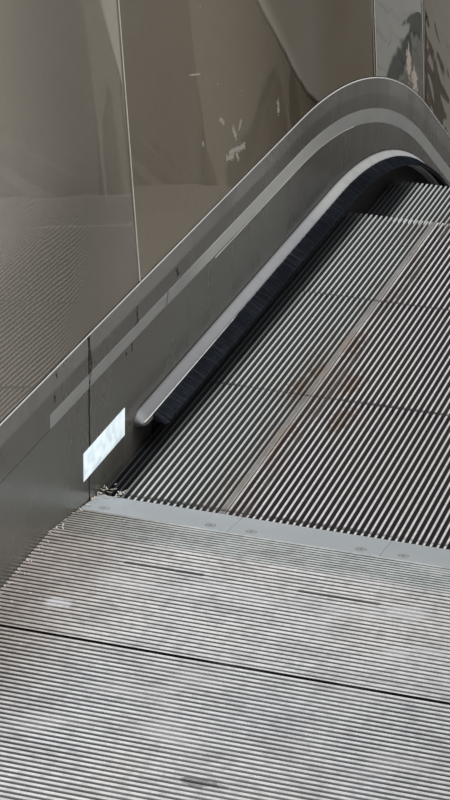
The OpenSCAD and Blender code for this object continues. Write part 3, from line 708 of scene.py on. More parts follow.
@dataclass(frozen=True)
class MirrorPanel:
    """Dark polished sheet of the inner panels: each bay with its own tone, calm ripples, a short bay with wavy dents,
    small scratches, and painted reflections: darker low on the first bay, darker over much of the first brown bay,
    dark lines along the dents, and two pale spots of painted glare.

    Args:
        name: the finish's name.
        tint: tint of the clear mirror image.
        pale: colour at the outer end of the first bay.
        grey: colour of the grey bays.
        brown: colour of the brown bays.
        dark_reflection: colour of the painted reflection that darkens the first brown bay.
        green: colour of the short bays.
        dark: colour of the bays on the incline.
        low: colour of the painted reflection low on the first bay.
        scratch: colour of the scratches.
        rubbed: colour of the two pale spots of painted glare.
        hazy: colour of the wide haze.
        gritty: colour of the fine grit.
        reflected_lines: colour of the painted reflection lines along the dents.
        marks: ends and half widths of the small scratches, on the run map.
        glare: centres and reaches of the painted glare spots, on the run map.
    """

    name: str = "dark_mirror_sheet"
    tint: Colour = (0.55, 0.52, 0.47)
    pale: Colour = (0.770, 0.715, 0.620)
    grey: Colour = (0.425, 0.390, 0.332)
    brown: Colour = (0.430, 0.378, 0.306)
    dark_reflection: Colour = (0.088, 0.073, 0.056)
    green: Colour = (0.175, 0.184, 0.166)
    dark: Colour = (0.105, 0.102, 0.090)
    low: Colour = (0.200, 0.190, 0.165)
    scratch: Colour = (0.66, 0.66, 0.60)
    rubbed: Colour = (0.66, 0.52, 0.42)
    hazy: Colour = (0.44, 0.43, 0.38)
    gritty: Colour = (0.16, 0.14, 0.12)
    reflected_lines: Colour = (0.045, 0.046, 0.042)
    marks: tuple[Dash, ...] = (
        ((0.578, 0.2964), (0.648, 0.2867), 0.0062), ((0.563, 0.2933), (0.591, 0.2863), 0.0056),
        ((0.610, 0.2850), (0.616, 0.2756), 0.0052), ((0.601, 0.3263), (0.610, 0.3112), 0.0060),
        ((0.627, 0.3187), (0.639, 0.3276), 0.0044), ((0.542, 0.3586), (0.559, 0.3477), 0.0040),
        ((0.4596, 0.3466), (0.4609, 0.3436), 0.0040), ((0.8283, 0.3018), (0.8287, 0.2888), 0.0062),
        ((0.423, 0.4563), (0.466, 0.4461), 0.0016), ((5.93, 0.41), (5.98, 0.44), 0.0050),
        ((4.2, 0.62), (4.26, 0.60), 0.0040),
    )
    glare: tuple[Spot, ...] = (
        ((1.715, 0.285), (0.020, 0.030)), ((1.765, 0.262), (0.026, 0.022)),
    )

    def make(self) -> bpy.types.Material:
        """Builds the material: ripples in the normal, haze and scratches in colour and roughness."""
        s = Surface(self.name, Specular_IOR_Level=0.35, Specular_Tint=self.tint)
        w = s.wire
        run = w.node("ShaderNodeSeparateXYZ", Vector=s.run)
        along = run.outputs["X"]
        seams = PLAN.inner_seams
        tones = [self.grey, self.brown, self.green, self.dark, self.grey, self.brown, self.green, self.dark, self.grey]
        tones[0] = w.mix(w.spread(along, 0.02, -0.42), self.grey, self.pale)
        # Painted reflection: darker low on the first bay.
        low_reflection = w.times(w.spread(run.outputs["Y"], 0.50, 0.36), w.spread(along, 0.30, -0.10))
        tones[0] = w.mix(w.times(low_reflection, 0.55), tones[0], self.low)
        # Painted reflection: the first brown bay darkens along the run and in its upper corner next to the seam.
        tones[1] = w.mix(w.spread(along, 0.42, 1.20), self.brown, self.dark_reflection)
        deep = w.spread(w.sum("ADD", along, run.outputs["Y"]), 1.235, 1.29)
        tones[1] = w.mix(w.times(deep, 0.6), tones[1], self.dark_reflection)
        base = w.bands(along, [(x, tone) for x, tone in zip([-9.0, *seams], tones)])
        haze = s.cloud(2.6, 0.42, 0.75, (0.6, 1.0, 1.0))
        fine = s.cloud(60.0, 0.4, 0.7)
        soft = w.mix(w.times(haze, 0.2), base, self.hazy)
        soft = w.mix(w.times(fine, 0.05), soft, self.gritty)
        fleck = s.fleck(36.0, 0.08, 0.965, (0.5, 1.0, 1.4))
        stroke = s.stroke(4.0, 0.002, 0.66, (1.0, 1.0, 4.0))
        marks = w.sum("MAXIMUM", s.dashes(self.marks, 0.9), w.sum("MAXIMUM", fleck, w.times(stroke, 0.25)))
        soft = w.mix(w.times(marks, 0.55), soft, self.scratch)
        wave = w.node(
            "ShaderNodeTexWave", {"wave_type": "BANDS", "bands_direction": "Y"}, Vector=s.run, Scale=6.4,
            Distortion=6.0, Detail=1.0, Detail_Scale=1.5,
        ).outputs[1]
        low = w.times(w.spread(run.outputs["Y"], 0.52, 0.40), self._between(s, along, seams[2], seams[2] + 0.7))
        dented = w.sum("MAXIMUM", self._between(s, along, seams[1], seams[2]), w.times(low, 0.8))
        # Painted reflection: dark lines along the crests of the dents; the dents themselves are in the bump.
        crease = w.times(w.times(w.spread(wave, 0.90, 1.0), dented), 0.4)
        soft = w.mix(crease, soft, self.reflected_lines)
        # Painted glare: two pale spots low in the short bay, also less metallic and rougher.
        worn = s.spots(s.run, self.glare, 1.3)
        s.set(Base_Color=w.mix(w.times(worn, 0.7), soft, self.rubbed))
        far = w.sum("MAXIMUM", w.spread(along, 0.72, 1.25, 0.0, 0.43), w.times(deep, 0.26))
        far = w.times(far, w.sum("LESS_THAN", along, float(seams[1])))
        far = w.sum("MAXIMUM", far, w.times(self._between(s, along, seams[2], seams[3]), 0.40))
        kept = w.sum("SUBTRACT", 1.0, w.times(w.sum("MAXIMUM", marks, worn), 0.7))
        s.set(Metallic=w.times(w.sum("ADD", far, 0.52), kept))
        rough = w.spread(haze, 0.0, 1.0, 0.02, 0.055)
        s.set(Roughness=w.sum("ADD", rough, w.times(w.sum("MAXIMUM", marks, worn), 0.35)))
        calm = s.ripple(2.2, 0.03, (0.6, 1.0, 1.0))
        s.bump(w.sum("ADD", calm, w.times(wave, w.times(dented, 0.028))), 1.0, 0.006)
        return s.material

    @staticmethod
    def _between(s: Surface, along: Value, first: float, last: float) -> Value:
        """1 between two places along the run, 0 elsewhere."""
        after, before = s.wire.sum("GREATER_THAN", along, float(first)), s.wire.sum("LESS_THAN", along, float(last))
        return s.wire.times(after, before)


@dataclass(frozen=True)
class SatinSheet:
    """Brushed or satin sheet metal, with its grain along the run, smudges and scuffs.

    Args:
        name: the finish's name.
        base: colour of the clean metal.
        dull: colour of its worn patches.
        rough: roughness of the clean metal.
        grain: strength of the brushing.
        metal: share of metal in the shader.
        marks: strength of the scuffs.
        cloudy: how much rougher the worn patches are.
        paler: stops of a paler stretch past the comb lines, or none.
        nicks: ends and half widths of the dark nicks, on the run map.
    """

    name: str
    base: Colour
    dull: Colour
    rough: float = 0.34
    grain: float = 0.25
    metal: float = 0.9
    marks: float = 0.4
    cloudy: float = 0.14
    paler: tuple[float, ...] = ()
    nicks: tuple[Dash, ...] = ()

    def make(self) -> bpy.types.Material:
        """Builds the material: brushed streaks in roughness and normal, patches, scuffs and dark nicks in colour."""
        s = Surface(self.name)
        w = s.wire
        patch = s.cloud(3.4, 0.42, 0.7, (0.6, 1.0, 1.0))
        brushed = s.cloud(1.0, 0.3, 0.7, (3.0, 260.0, 260.0))
        scuff = s.stroke(6.0, 0.006, 0.56, (1.0, 1.0, 4.0))
        colour = w.mix(patch, self.base, self.dull)
        if self.paler:
            colour = w.mix(s.stretch(self.paler), colour, toned(self.base, 1.6))
        lighter = w.mix(w.times(brushed, 0.25), colour, toned(self.base, 1.35))
        worn = w.mix(w.times(scuff, self.marks), lighter, toned(self.dull, 0.45))
        nick = w.times(s.dashes(self.nicks, 0.8), 0.9)
        s.set(Base_Color=w.mix(nick, worn, (0.010, 0.010, 0.010)) if self.nicks else worn)
        s.set(Metallic=w.times(w.sum("SUBTRACT", 1.0, nick), self.metal) if self.nicks else self.metal)
        rough = w.spread(patch, 0.0, 1.0, self.rough, self.rough + self.cloudy)
        s.set(Roughness=w.sum("ADD", rough, w.times(brushed, 0.06)))
        s.bump(brushed, self.grain, 0.0002)
        return s.material


@dataclass(frozen=True)
class HolderRail:
    """Satin brush holder, duller towards its two tips, with a painted highlight over the bends, painted shade along the
    top edge where it meets the skirt, and faint smudges.

    Args:
        name: the finish's name.
        base: colour of the clean metal.
        tip: colour at the tips.
        bright: colour of the painted highlight over the bends.
        dirt: colour of the painted shade along the top edge, where the holder meets the skirt.
    """

    name: str = "holder_rail"
    base: Colour = (0.308, 0.313, 0.325)
    tip: Colour = (0.205, 0.208, 0.216)
    bright: Colour = (0.43, 0.44, 0.43)
    dirt: Colour = (0.105, 0.102, 0.096)

    def make(self) -> bpy.types.Material:
        """Builds the material, with its zones taken from the run map."""
        s = Surface(self.name, Metallic=0.25)
        w = s.wire
        run = w.node("ShaderNodeSeparateXYZ", Vector=s.run)
        half = PLAN.comb_x / 2
        away = w.apart(run.outputs["X"], half)
        smudge = s.cloud(22.0, 0.45, 0.75)
        colour = w.mix(w.spread(away, half - 0.72, half - 0.15), self.base, self.tip)
        # Painted highlight over both bends.
        colour = w.mix(s.stretch((0.92, 1.16, 1.70, 1.95)), colour, self.bright)
        colour = w.mix(w.times(smudge, 0.25), colour, toned(self.base, 0.7))
        # Painted shade along the top edge, where the holder meets the skirt.
        colour = w.mix(w.spread(run.outputs["Y"], 0.0545, 0.0578, 0.0, 0.75), colour, self.dirt)
        s.set(Base_Color=colour)
        s.set(Roughness=w.spread(smudge, 0.0, 1.0, 0.5, 0.66))
        s.bump(smudge, 0.1, 0.0003)
        return s.material


@dataclass(frozen=True)
class SkirtSheet:
    """Dark skirt or band sheet: soft vertical blotches, a lighter share above a height, short dark marks, and a
    painted shade low down beside the steps under the brush.

    Args:
        name: the finish's name.
        base: colour low on the sheet.
        upper: colour above the edge height.
        tint: colour of the blotches.
        edge: height over the treads where the upper colour starts.
        nicks: ends and half widths of the dark nicks, on the run map.
        rough: roughness of the clean sheet.
        under_brush_shade: colour of the painted shade under the brush.
        marked: colour of the dark marks.
    """

    name: str
    base: Colour
    upper: Colour
    tint: Colour
    edge: float
    nicks: tuple[Dash, ...] = ()
    rough: float = 0.24
    under_brush_shade: Colour = (0.026, 0.022, 0.018)
    marked: Colour = (0.008, 0.008, 0.008)

    def make(self) -> bpy.types.Material:
        """Builds the material, with its height taken from the run map."""
        s = Surface(self.name)
        w = s.wire
        run = w.node("ShaderNodeSeparateXYZ", Vector=s.run)
        high, half = run.outputs["Y"], PLAN.comb_x / 2
        away = w.apart(run.outputs["X"], half)
        # Painted shade low on the skirt under the brush, past its tips; it also takes away the metal and adds
        # roughness.
        painted_shade = w.times(w.spread(away, half - 0.085, half - 0.175), w.spread(high, 0.054, 0.030))
        upper = w.spread(high, self.edge - 0.003, self.edge + 0.003)
        blotch = s.cloud(5.0, 0.4, 0.75, (1.6, 1.0, 0.5))
        grit = s.cloud(46.0, 0.45, 0.7)
        mark = s.fleck(9.0, 0.05, 0.93, (3.4, 1.0, 0.8))
        dark = w.times(mark, 0.08)
        colour = w.mix(upper, self.base, self.upper)
        colour = w.mix(w.times(blotch, 0.6), colour, self.tint)
        colour = w.mix(w.times(grit, 0.06), colour, toned(self.tint, 1.5))
        dark = w.sum("MAXIMUM", w.sum("MAXIMUM", dark, self._joints(s, run.outputs["X"])), s.dashes(self.nicks, 0.8))
        shaded = w.spread(away, half - 0.76, half - 1.02)
        colour = w.mix(shaded, colour, w.mix(1.0, colour, (0.49, 0.48, 0.47), "MULTIPLY"))
        colour = w.mix(w.times(painted_shade, 0.9), colour, self.under_brush_shade)
        s.set(Base_Color=w.mix(w.times(dark, 0.95), colour, self.marked))
        bare = w.sum("SUBTRACT", 1.0, w.sum("MAXIMUM", dark, w.times(painted_shade, 0.95)))
        s.set(Metallic=w.times(bare, 0.5))
        rough = w.spread(blotch, 0.0, 1.0, self.rough, self.rough + 0.12)
        s.set(Roughness=w.sum("ADD", rough, w.times(w.sum("MAXIMUM", dark, painted_shade), 0.5)))
        wave = s.ripple(2.0, 0.03, (1.0, 1.0, 1.0))
        s.bump(wave, 0.5, 0.004)
        return s.material

    @staticmethod
    def _joints(s: Surface, along: Value) -> Value:
        """Dirt in and beside the upright joints, by the distance along the run with a noise added."""
        w = s.wire
        seam = PLAN.skirt_seam
        noise = w.node("ShaderNodeTexNoise", Vector=s.place, Scale=45.0, Detail=2.0)
        shift = w.times(w.sum("SUBTRACT", noise.outputs[0], 0.5), 0.012)
        near: Value = 1.0
        for x in (-seam, *PLAN.seams[2:PLAN.bays:2], PLAN.comb_x + seam):
            off = w.apart(w.sum("ADD", along, shift), float(x))
            near = w.sum("MINIMUM", off, near)
        return w.spread(near, 0.0042, 0.0016)


@dataclass(frozen=True)
class CastRelief:
    """Cast aluminium with cleats or ribs: worn bright crests, dark grooves, dust packed in patches.

    Args:
        name: the finish's name.
        crest: colour of the worn crests.
        worn: colour of duller stretches of the crests.
        groove: colour of the clean grooves.
        dust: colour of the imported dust.
        depth: depth of the grooves.
        edge: share of the depth at which the crest's polish ends.
        patch: size of the dust patches, as a noise scale.
        packed: share of dust where it is packed.
        flicker: size of the duller stretches, as a noise scale.
        shine: specular level of the shader.
    """

    name: str
    crest: Colour
    worn: Colour
    groove: Colour
    dust: Colour
    depth: float
    edge: float
    patch: float
    packed: float
    flicker: float = 130.0
    shine: float = 0.5

    def layers(self, s: Surface) -> tuple[Value, Value, Value, Value]:
        """Crest mask, slot mask, colour of the filled grooves and colour of the crests."""
        w = s.wire
        relief = w.node("ShaderNodeGroup", {"node_tree": EFFECTS.relief}, Run=s.run, Depth=self.depth, Edge=self.edge)
        patch = s.cloud(self.patch, 0.40, 0.78)
        speck = s.cloud(self.flicker, 0.4, 0.66)
        smear = s.cloud(17.0, 0.5, 0.75)
        filled = w.mix(w.times(patch, self.packed), self.groove, self.dust)
        filled = w.mix(w.times(w.times(smear, patch), 0.7), filled, self.dust)
        bright = w.mix(w.times(speck, 0.7), self.crest, self.worn)
        bright = w.mix(w.times(patch, 0.2), bright, self.worn)
        return relief.outputs["Crest"], relief.outputs["Slot"], filled, bright

    def dress(self, s: Surface, colour: Value, crest: Value) -> bpy.types.Material:
        """Sets the colour, the polish of the crests and a fine grain."""
        w = s.wire
        s.set(Base_Color=colour)
        s.set(Metallic=w.times(crest, 0.06), Specular_IOR_Level=self.shine)
        s.set(Roughness=w.spread(crest, 0.0, 1.0, 0.8, 0.38))
        grain = s.cloud(420.0, 0.3, 0.7)
        s.bump(grain, 0.3, 0.0002)
        return s.material


@dataclass(frozen=True)
class TreadCasting(CastRelief):
    """Step casting: dull broad cleats, brown stains beside them, grey dust between them and the skirt, and a
    near-black painted shadow of the brush at the rim.

    Args:
        broad: distance of the broad cleats from the middle.
        broad_half: half the width of a broad cleat.
        rim: distance from the middle at which the painted shadow starts.
        margin_groove: colour of the dust between the broad cleats and the skirt.
        margin_crest: colour of the crests there.
        joint_dirt: colour of the dirt between two steps.
        rust_groove: colour of the brown stains in the grooves.
        rust_crest: colour of the brown stains on the crests.
        broad_tones: two tones of the broad cleats.
        rim_shadow: colours of the painted shadow in the grooves and on the crests.
        rust: centres and reaches of the brown stains, from the upper comb line.
    """

    broad: float = 0.33025
    broad_half: float = 0.0040
    rim: float = 0.436
    margin_groove: Colour = (0.110, 0.128, 0.124)
    margin_crest: Colour = (0.66, 0.70, 0.68)
    joint_dirt: Colour = (0.030, 0.030, 0.034)
    rust_groove: Colour = (0.090, 0.050, 0.028)
    rust_crest: Colour = (0.25, 0.155, 0.090)
    broad_tones: tuple[Colour, Colour] = ((0.27, 0.265, 0.245), (0.215, 0.19, 0.165))
    rim_shadow: tuple[Colour, Colour] = ((0.002, 0.002, 0.003), (0.020, 0.022, 0.028))
    rust: tuple[Spot, ...] = (
        ((0.445, 0.351), (0.030, 0.016)), ((0.500, 0.339), (0.035, 0.012)), ((0.620, 0.322), (0.050, 0.018)),
        ((0.475, 0.280), (0.040, 0.016)), ((0.346, 0.262), (0.055, 0.014)), ((0.270, 0.322), (0.060, 0.010)),
    )

    def make(self) -> bpy.types.Material:
        """Builds the material, with its zones taken from the distance from the middle."""
        s = Surface(self.name)
        w = s.wire
        crest, _, filled, bright = self.layers(s)
        away = w.sum("ABSOLUTE", w.part(s.place, "Y"), 0.0)
        margin = w.spread(away, self.broad - 0.004, self.broad + 0.012)
        filled = w.mix(w.times(margin, 0.75), filled, self.margin_groove)
        bright = w.mix(w.times(margin, 0.6), bright, self.margin_crest)
        colour = w.mix(crest, filled, bright)
        off = w.apart(away, self.broad)
        seam = w.apart(away, self.broad - 0.030)
        stain = s.cloud(5.0, 0.44, 0.62, (1.0, 2.0, 1.0))
        blot = s.cloud(11.0, 0.42, 0.62)
        fine = s.cloud(60.0, 0.36, 0.66, (1.0, 4.0, 1.0))
        tone = w.mix(blot, *self.broad_tones)
        tone = w.mix(w.times(fine, 0.55), tone, (0.13, 0.125, 0.125))
        colour = w.mix(w.times(w.times(w.spread(off, 0.060, 0.006), stain), 0.4), colour, (0.16, 0.11, 0.08))
        colour = w.mix(w.times(w.times(w.spread(seam, 0.0060, 0.0035), blot), 0.7), colour, tone)
        colour = w.mix(w.times(w.spread(off, 0.0060, 0.0048), 0.85), colour, tone)
        lip = w.spread(w.apart(off, self.broad_half), 0.0011, 0.0004)
        colour = w.mix(w.times(w.times(lip, crest), 0.55), colour, (0.72, 0.70, 0.69))
        place = w.part(s.run, "X")
        near = w.sum("MAXIMUM", w.spread(place, -0.3915, -0.3945), w.spread(place, -0.0035, -0.0008))
        joint = w.times(near, w.sum("SUBTRACT", 1.0, w.times(blot, 0.75)))
        colour = w.mix(w.times(joint, 0.7), colour, self.joint_dirt)
        stains = [((x + PLAN.origin[0], y, PLAN.origin[2]), (rx, ry, 0.05)) for (x, y), (rx, ry) in self.rust]
        stained = w.mix(crest, self.rust_groove, w.mix(0.8, bright, self.rust_crest))
        colour = w.mix(w.times(s.spots(s.place, stains, 1.6), 0.62), colour, stained)
        # Near-black painted shadow of the brush along the rim of the steps, starting a little further out near the
        # upper landing.
        along = w.part(s.place, "X")
        start = w.spread(along, float(PLAN.origin[0]), float(PLAN.origin[0]) + 0.8, self.rim + 0.014, self.rim)
        rim_shaded = w.spread(away, start, w.sum("ADD", start, 0.028))
        black = w.mix(crest, *self.rim_shadow)
        return self.dress(s, w.mix(w.times(rim_shaded, 0.98), colour, black), crest)


@dataclass(frozen=True)
class FloorCasting(CastRelief):
    """Floor casting: wide tints, pale smears and chips, one dark smudge, a dark slot.

    Args:
        smears: centres and reaches of the pale smears, from the upper comb line.
        smudges: centres and reaches of the dark smudges.
    """

    smears: tuple[Spot, ...] = ()
    smudges: tuple[Spot, ...] = ()

    @staticmethod
    def moved(places: Sequence[Spot]) -> list[Spot]:
        """Places moved from the comb line to the part's own origin."""
        shift = PLAN.origin
        return [((x + shift[0], y, PLAN.floor + shift[2]), (rx, ry, 0.05)) for (x, y), (rx, ry) in places]

    def make(self) -> bpy.types.Material:
        """Builds the material: relief colours, then tints, smears, chips, smudges and the slot."""
        s = Surface(self.name)
        w = s.wire
        crest, slot, filled, bright = self.layers(s)
        colour = w.mix(crest, filled, bright)
        tint = s.cloud(2.1, 0.4, 0.62, (1.2, 2.2, 1.0))
        colour = w.mix(0.7, colour, w.mix(tint, (1.0, 0.998, 0.99), (0.965, 0.99, 1.02)), "MULTIPLY")
        ramp = w.spread(w.part(s.run, "X"), 0.185, 0.145)
        colour = w.mix(ramp, colour, w.mix(1.0, colour, (0.775, 0.825, 0.82), "MULTIPLY"))
        dull = s.cloud(30.0, 0.42, 0.66, (1.0, 0.6, 1.0))
        colour = w.mix(w.times(dull, 0.45), colour, w.mix(1.0, colour, (0.66, 0.66, 0.67), "MULTIPLY"))
        edge = w.sum("ABSOLUTE", w.part(s.place, "Y"), 0.0)
        rim = w.sum("MINIMUM", w.spread(edge, 0.32, 0.49), w.spread(edge, 0.68, 0.54, 0.25, 1.0))
        colour = w.mix(w.times(rim, 0.9), colour, w.mix(0.9, colour, (0.50, 0.425, 0.365), "MULTIPLY"))
        pale = s.cloud(9.0, 0.52, 0.72, (1.4, 0.7, 1.0))
        pale = w.times(w.times(pale, 0.75), w.sum("SUBTRACT", 1.0, rim))
        pale = w.sum("MAXIMUM", pale, s.spots(s.place, self.moved(self.smears)))
        colour = w.mix(w.times(pale, 0.8), colour, (0.86, 0.86, 0.88))
        soot = s.spots(s.place, self.moved(self.smudges))
        colour = w.mix(w.times(soot, 0.6), colour, (0.05, 0.05, 0.06))
        chip = s.fleck(110.0, 0.28, 0.93)
        colour = w.mix(chip, colour, (0.95, 0.94, 0.92))
        open_slot = w.times(slot, w.sum("SUBTRACT", 1.0, w.times(pale, 0.7)))
        return self.dress(s, w.mix(open_slot, colour, (0.016, 0.016, 0.018)), crest)


@dataclass(frozen=True)
class CastPlate:
    """Pale cast comb metal: cloudy stains, fine pits, darker tooth tips.

    Args:
        name: the finish's name.
        base: colour of the metal.
        stain: colour of the stains.
        rough: roughness of the clean metal.
        metal: share of metal in the shader.
    """

    name: str
    base: Colour
    stain: Colour
    rough: float = 0.42
    metal: float = 0.55

    def make(self) -> bpy.types.Material:
        """Builds the material: clouds and pits in colour, roughness and normal."""
        s = Surface(self.name, Metallic=self.metal)
        w = s.wire
        cloud = s.cloud(14.0, 0.35, 0.75)
        wide = s.cloud(4.0, 0.4, 0.7, (2.0, 1.0, 1.0))
        pit = s.fleck(170.0, 0.25, 0.86)
        streak = s.stroke(14.0, 0.012, 0.5, (1.0, 3.0, 1.0))
        colour = w.mix(w.times(cloud, 0.5), self.base, self.stain)
        colour = w.mix(w.times(wide, 0.3), colour, toned(self.base, 1.25))
        colour = w.mix(w.times(streak, 0.3), colour, toned(self.stain, 0.5))
        s.set(Base_Color=w.mix(w.times(pit, 0.5), colour, toned(self.stain, 0.35)))
        s.set(Roughness=w.spread(cloud, 0.0, 1.0, self.rough, self.rough + 0.16))
        s.bump(w.sum("SUBTRACT", cloud, pit), 0.35, 0.0004)
        return s.material


@dataclass(frozen=True)
class Rubber:
    """Black rubber, plastic or nylon with a soft bloom.

    Args:
        name: the finish's name.
        base: its colour.
        bloom: colour of the dusty bloom.
        rough: its roughness.
        gloss: specular level of its shader.
    """

    name: str
    base: Colour
    bloom: Colour
    rough: float
    gloss: float = 0.5

    def make(self) -> bpy.types.Material:
        """Builds the material: bloom patches in colour and roughness, a fine grain in the normal."""
        s = Surface(self.name, Metallic=0.0, Specular_IOR_Level=self.gloss)
        w = s.wire
        bloom = s.cloud(6.0, 0.4, 0.8)
        grain = s.cloud(380.0, 0.3, 0.7)
        s.set(Base_Color=w.mix(w.times(bloom, 0.7), self.base, self.bloom))
        s.set(Roughness=w.spread(bloom, 0.0, 1.0, self.rough, self.rough + 0.18))
        s.bump(grain, 0.25, 0.0002)
        return s.material


@dataclass(frozen=True)
class Galvanised:
    """Zinc-coated or painted steel of the structure, with grains, runs of dust and rubbed edges.

    Args:
        name: the finish's name.
        light: colour of the light grains.
        dark: colour of the dark grains.
        dust: colour of the dust.
        metal: share of metal in the shader.
    """

    name: str
    light: Colour
    dark: Colour
    dust: Colour
    metal: float = 0.6

    def make(self) -> bpy.types.Material:
        """Builds the material: cells for the zinc grains, clouds for the dust."""
        s = Surface(self.name, Metallic=self.metal)
        w = s.wire
        cell = w.node("ShaderNodeTexVoronoi", Vector=s.place, Scale=70.0)
        tone = w.node("ShaderNodeSeparateColor", Color=cell.outputs["Color"]).outputs[0]
        dust = s.cloud(4.0, 0.45, 0.7, (1.0, 1.0, 0.4))
        colour = w.mix(tone, self.dark, self.light)
        s.set(Base_Color=w.mix(w.times(dust, 0.6), colour, self.dust))
        s.set(Roughness=w.spread(dust, 0.0, 1.0, 0.38, 0.8))
        s.bump(tone, 0.15, 0.0003)
        return s.material


@dataclass(frozen=True)
class LitLens:
    """Pale lens of a comb light, lit from inside and mottled.

    Args:
        name: the finish's name.
        bright: colour of the lens.
        shade: colour of its mottles.
    """

    name: str = "lit_lens"
    bright: Colour = (0.85, 0.96, 1.0)
    shade: Colour = (0.50, 0.62, 0.70)

    def make(self) -> bpy.types.Material:
        """Builds the material: mottles in colour and in the light that it gives."""
        s = Surface(self.name, Metallic=0.0, Roughness=0.35, Emission_Strength=0.55)
        w = s.wire
        mottle = s.cloud(75.0, 0.42, 0.66)
        colour = w.mix(w.times(mottle, 0.55), self.bright, self.shade)
        s.set(Base_Color=colour, Emission_Color=colour)
        s.bump(mottle, 0.2, 0.0005)
        return s.material


class Finishes:
    """All the finishes of the machine, built once."""

    def __init__(self) -> None:
        """Builds the materials."""
        self.panel = MirrorPanel().make()
        foot_marks = (
            ((-0.0300, 0.1640), (-0.0289, 0.1430), 0.0030), ((-0.0289, 0.1430), (-0.0309, 0.1241), 0.0022),
            ((0.1340, 0.1640), (0.1355, 0.1560), 0.0032), ((0.1105, 0.1600), (0.1120, 0.1565), 0.0028),
        )
        nicks = (
            ((0.1539, 0.2097), (0.1563, 0.1867), 0.0036), ((0.1563, 0.1867), (0.1441, 0.1862), 0.0026),
            ((-0.1502, 0.2041), (-0.1504, 0.1975), 0.0034), ((-0.1461, 0.2321), (-0.1428, 0.2268), 0.0026),
            ((0.3222, 0.2030), (0.3269, 0.1954), 0.0050), ((-0.0334, 0.2385), (-0.0264, 0.2147), 0.0034),
            ((-0.0264, 0.2147), (-0.0211, 0.1932), 0.0044), ((-0.0211, 0.1932), (-0.0250, 0.1850), 0.0042),
        )
        cracks = (((-0.0245, 0.1860), (-0.0300, 0.1655), 0.0032), ((0.2836, 0.1860), (0.2760, 0.1650), 0.0026))
        self.skirt = SkirtSheet(
            "skirt_sheet", (0.190, 0.182, 0.164), (0.190, 0.182, 0.164), (0.235, 0.244, 0.216), 0.3, foot_marks
        ).make()
        self.band = SkirtSheet(
            "band_sheet", (0.185, 0.176, 0.160), (0.360, 0.352, 0.330), (0.25, 0.24, 0.217), 0.212, nicks
        ).make()
        self.strip = SatinSheet(
            "satin_strip", (0.46, 0.465, 0.448), (0.38, 0.38, 0.365), rough=0.5, metal=0.55, marks=0.2, grain=0.1,
            nicks=cracks, paler=(0.34, 0.50, 0.84, 1.20),
        ).make()
        # Near-white finish of the strip's fine lip: a painted highlight.
        self.lip_highlight = SatinSheet(
            "painted_lip_highlight", (0.94, 0.90, 0.87), (0.78, 0.73, 0.69), rough=0.25, grain=0.1, metal=0.35
        ).make()
        # Near-white finish of the band's bead, the holder's lip and the panels' joint edges: a painted highlight.
        self.edge = SatinSheet(
            "painted_edge_highlight", (0.96, 0.95, 0.92), (0.86, 0.84, 0.80), rough=0.3, grain=0.1, metal=0.15
        ).make()
        self.holder = HolderRail().make()
        self.outer = SatinSheet(
            "brushed_cladding", (0.47, 0.47, 0.462), (0.45, 0.45, 0.44), rough=0.34, cloudy=0.035, marks=0.3
        ).make()
        self.deck = SatinSheet("brushed_cap", (0.50, 0.50, 0.49), (0.38, 0.375, 0.36), rough=0.3).make()
        self.handrail = Rubber("handrail_rubber", (0.012, 0.012, 0.013), (0.035, 0.035, 0.036), 0.34).make()
        self.inlet = Rubber("inlet_plate", (0.025, 0.025, 0.027), (0.06, 0.058, 0.055), 0.45).make()
        self.bristle = Rubber("bristle_nylon", (0.064, 0.076, 0.098), (0.112, 0.130, 0.164), 0.55, 0.25).make()
        self.strand = Rubber("bristle_pale", (0.150, 0.165, 0.195), (0.24, 0.26, 0.295), 0.5, 0.4).make()
        # Darker core among the bristles: the dense bristles with painted shade among them.
        self.socket = Rubber("bristle_core_and_shade", (0.020, 0.025, 0.034), (0.034, 0.041, 0.056), 0.6, 0.2).make()
        # Near-black painted shade: the sheet under the brush and the thin line over the band's bead.
        self.painted_shade = Rubber("skirt_painted_shade", (0.008, 0.008, 0.009), (0.022, 0.021, 0.020), 0.6, 0.2).make()
        # Dark line over the holder: painted contact shadow.
        self.contact_shadow_line = Rubber("holder_contact_shadow", (0.050, 0.047, 0.042), (0.085, 0.080, 0.072), 0.5, 0.3).make()
        self.lens = LitLens().make()
        self.tread = TreadCasting(
            "step_casting", (0.92, 0.91, 0.91), (0.68, 0.66, 0.66), (0.078, 0.071, 0.077), (0.134, 0.120, 0.112),
            depth=0.011, edge=0.08, patch=2.3, packed=0.5, shine=0.25,
        ).make()
        smears = (
            ((-0.347, 0.424), (0.012, 0.020)), ((-0.233, 0.023), (0.018, 0.030)),
            ((-0.328, 0.014), (0.008, 0.018)), ((-0.311, -0.022), (0.006, 0.022)),
        )
        self.floor = FloorCasting(
            "floor_casting", (0.99, 0.985, 0.99), (0.69, 0.685, 0.69), (0.300, 0.300, 0.305), (0.60, 0.60, 0.61),
            depth=0.0035, edge=0.4, patch=3.4, packed=0.6, flicker=85.0, smears=smears,
            smudges=(((-0.667, 0.141), (0.009, 0.026)),),
        ).make()
        self.comb = CastPlate("comb_casting", (0.515, 0.560, 0.590), (0.41, 0.44, 0.455), rough=0.45, metal=0.25).make()
        self.screw = CastPlate("screw_steel", (0.47, 0.50, 0.51), (0.36, 0.38, 0.39), rough=0.4, metal=0.4).make()
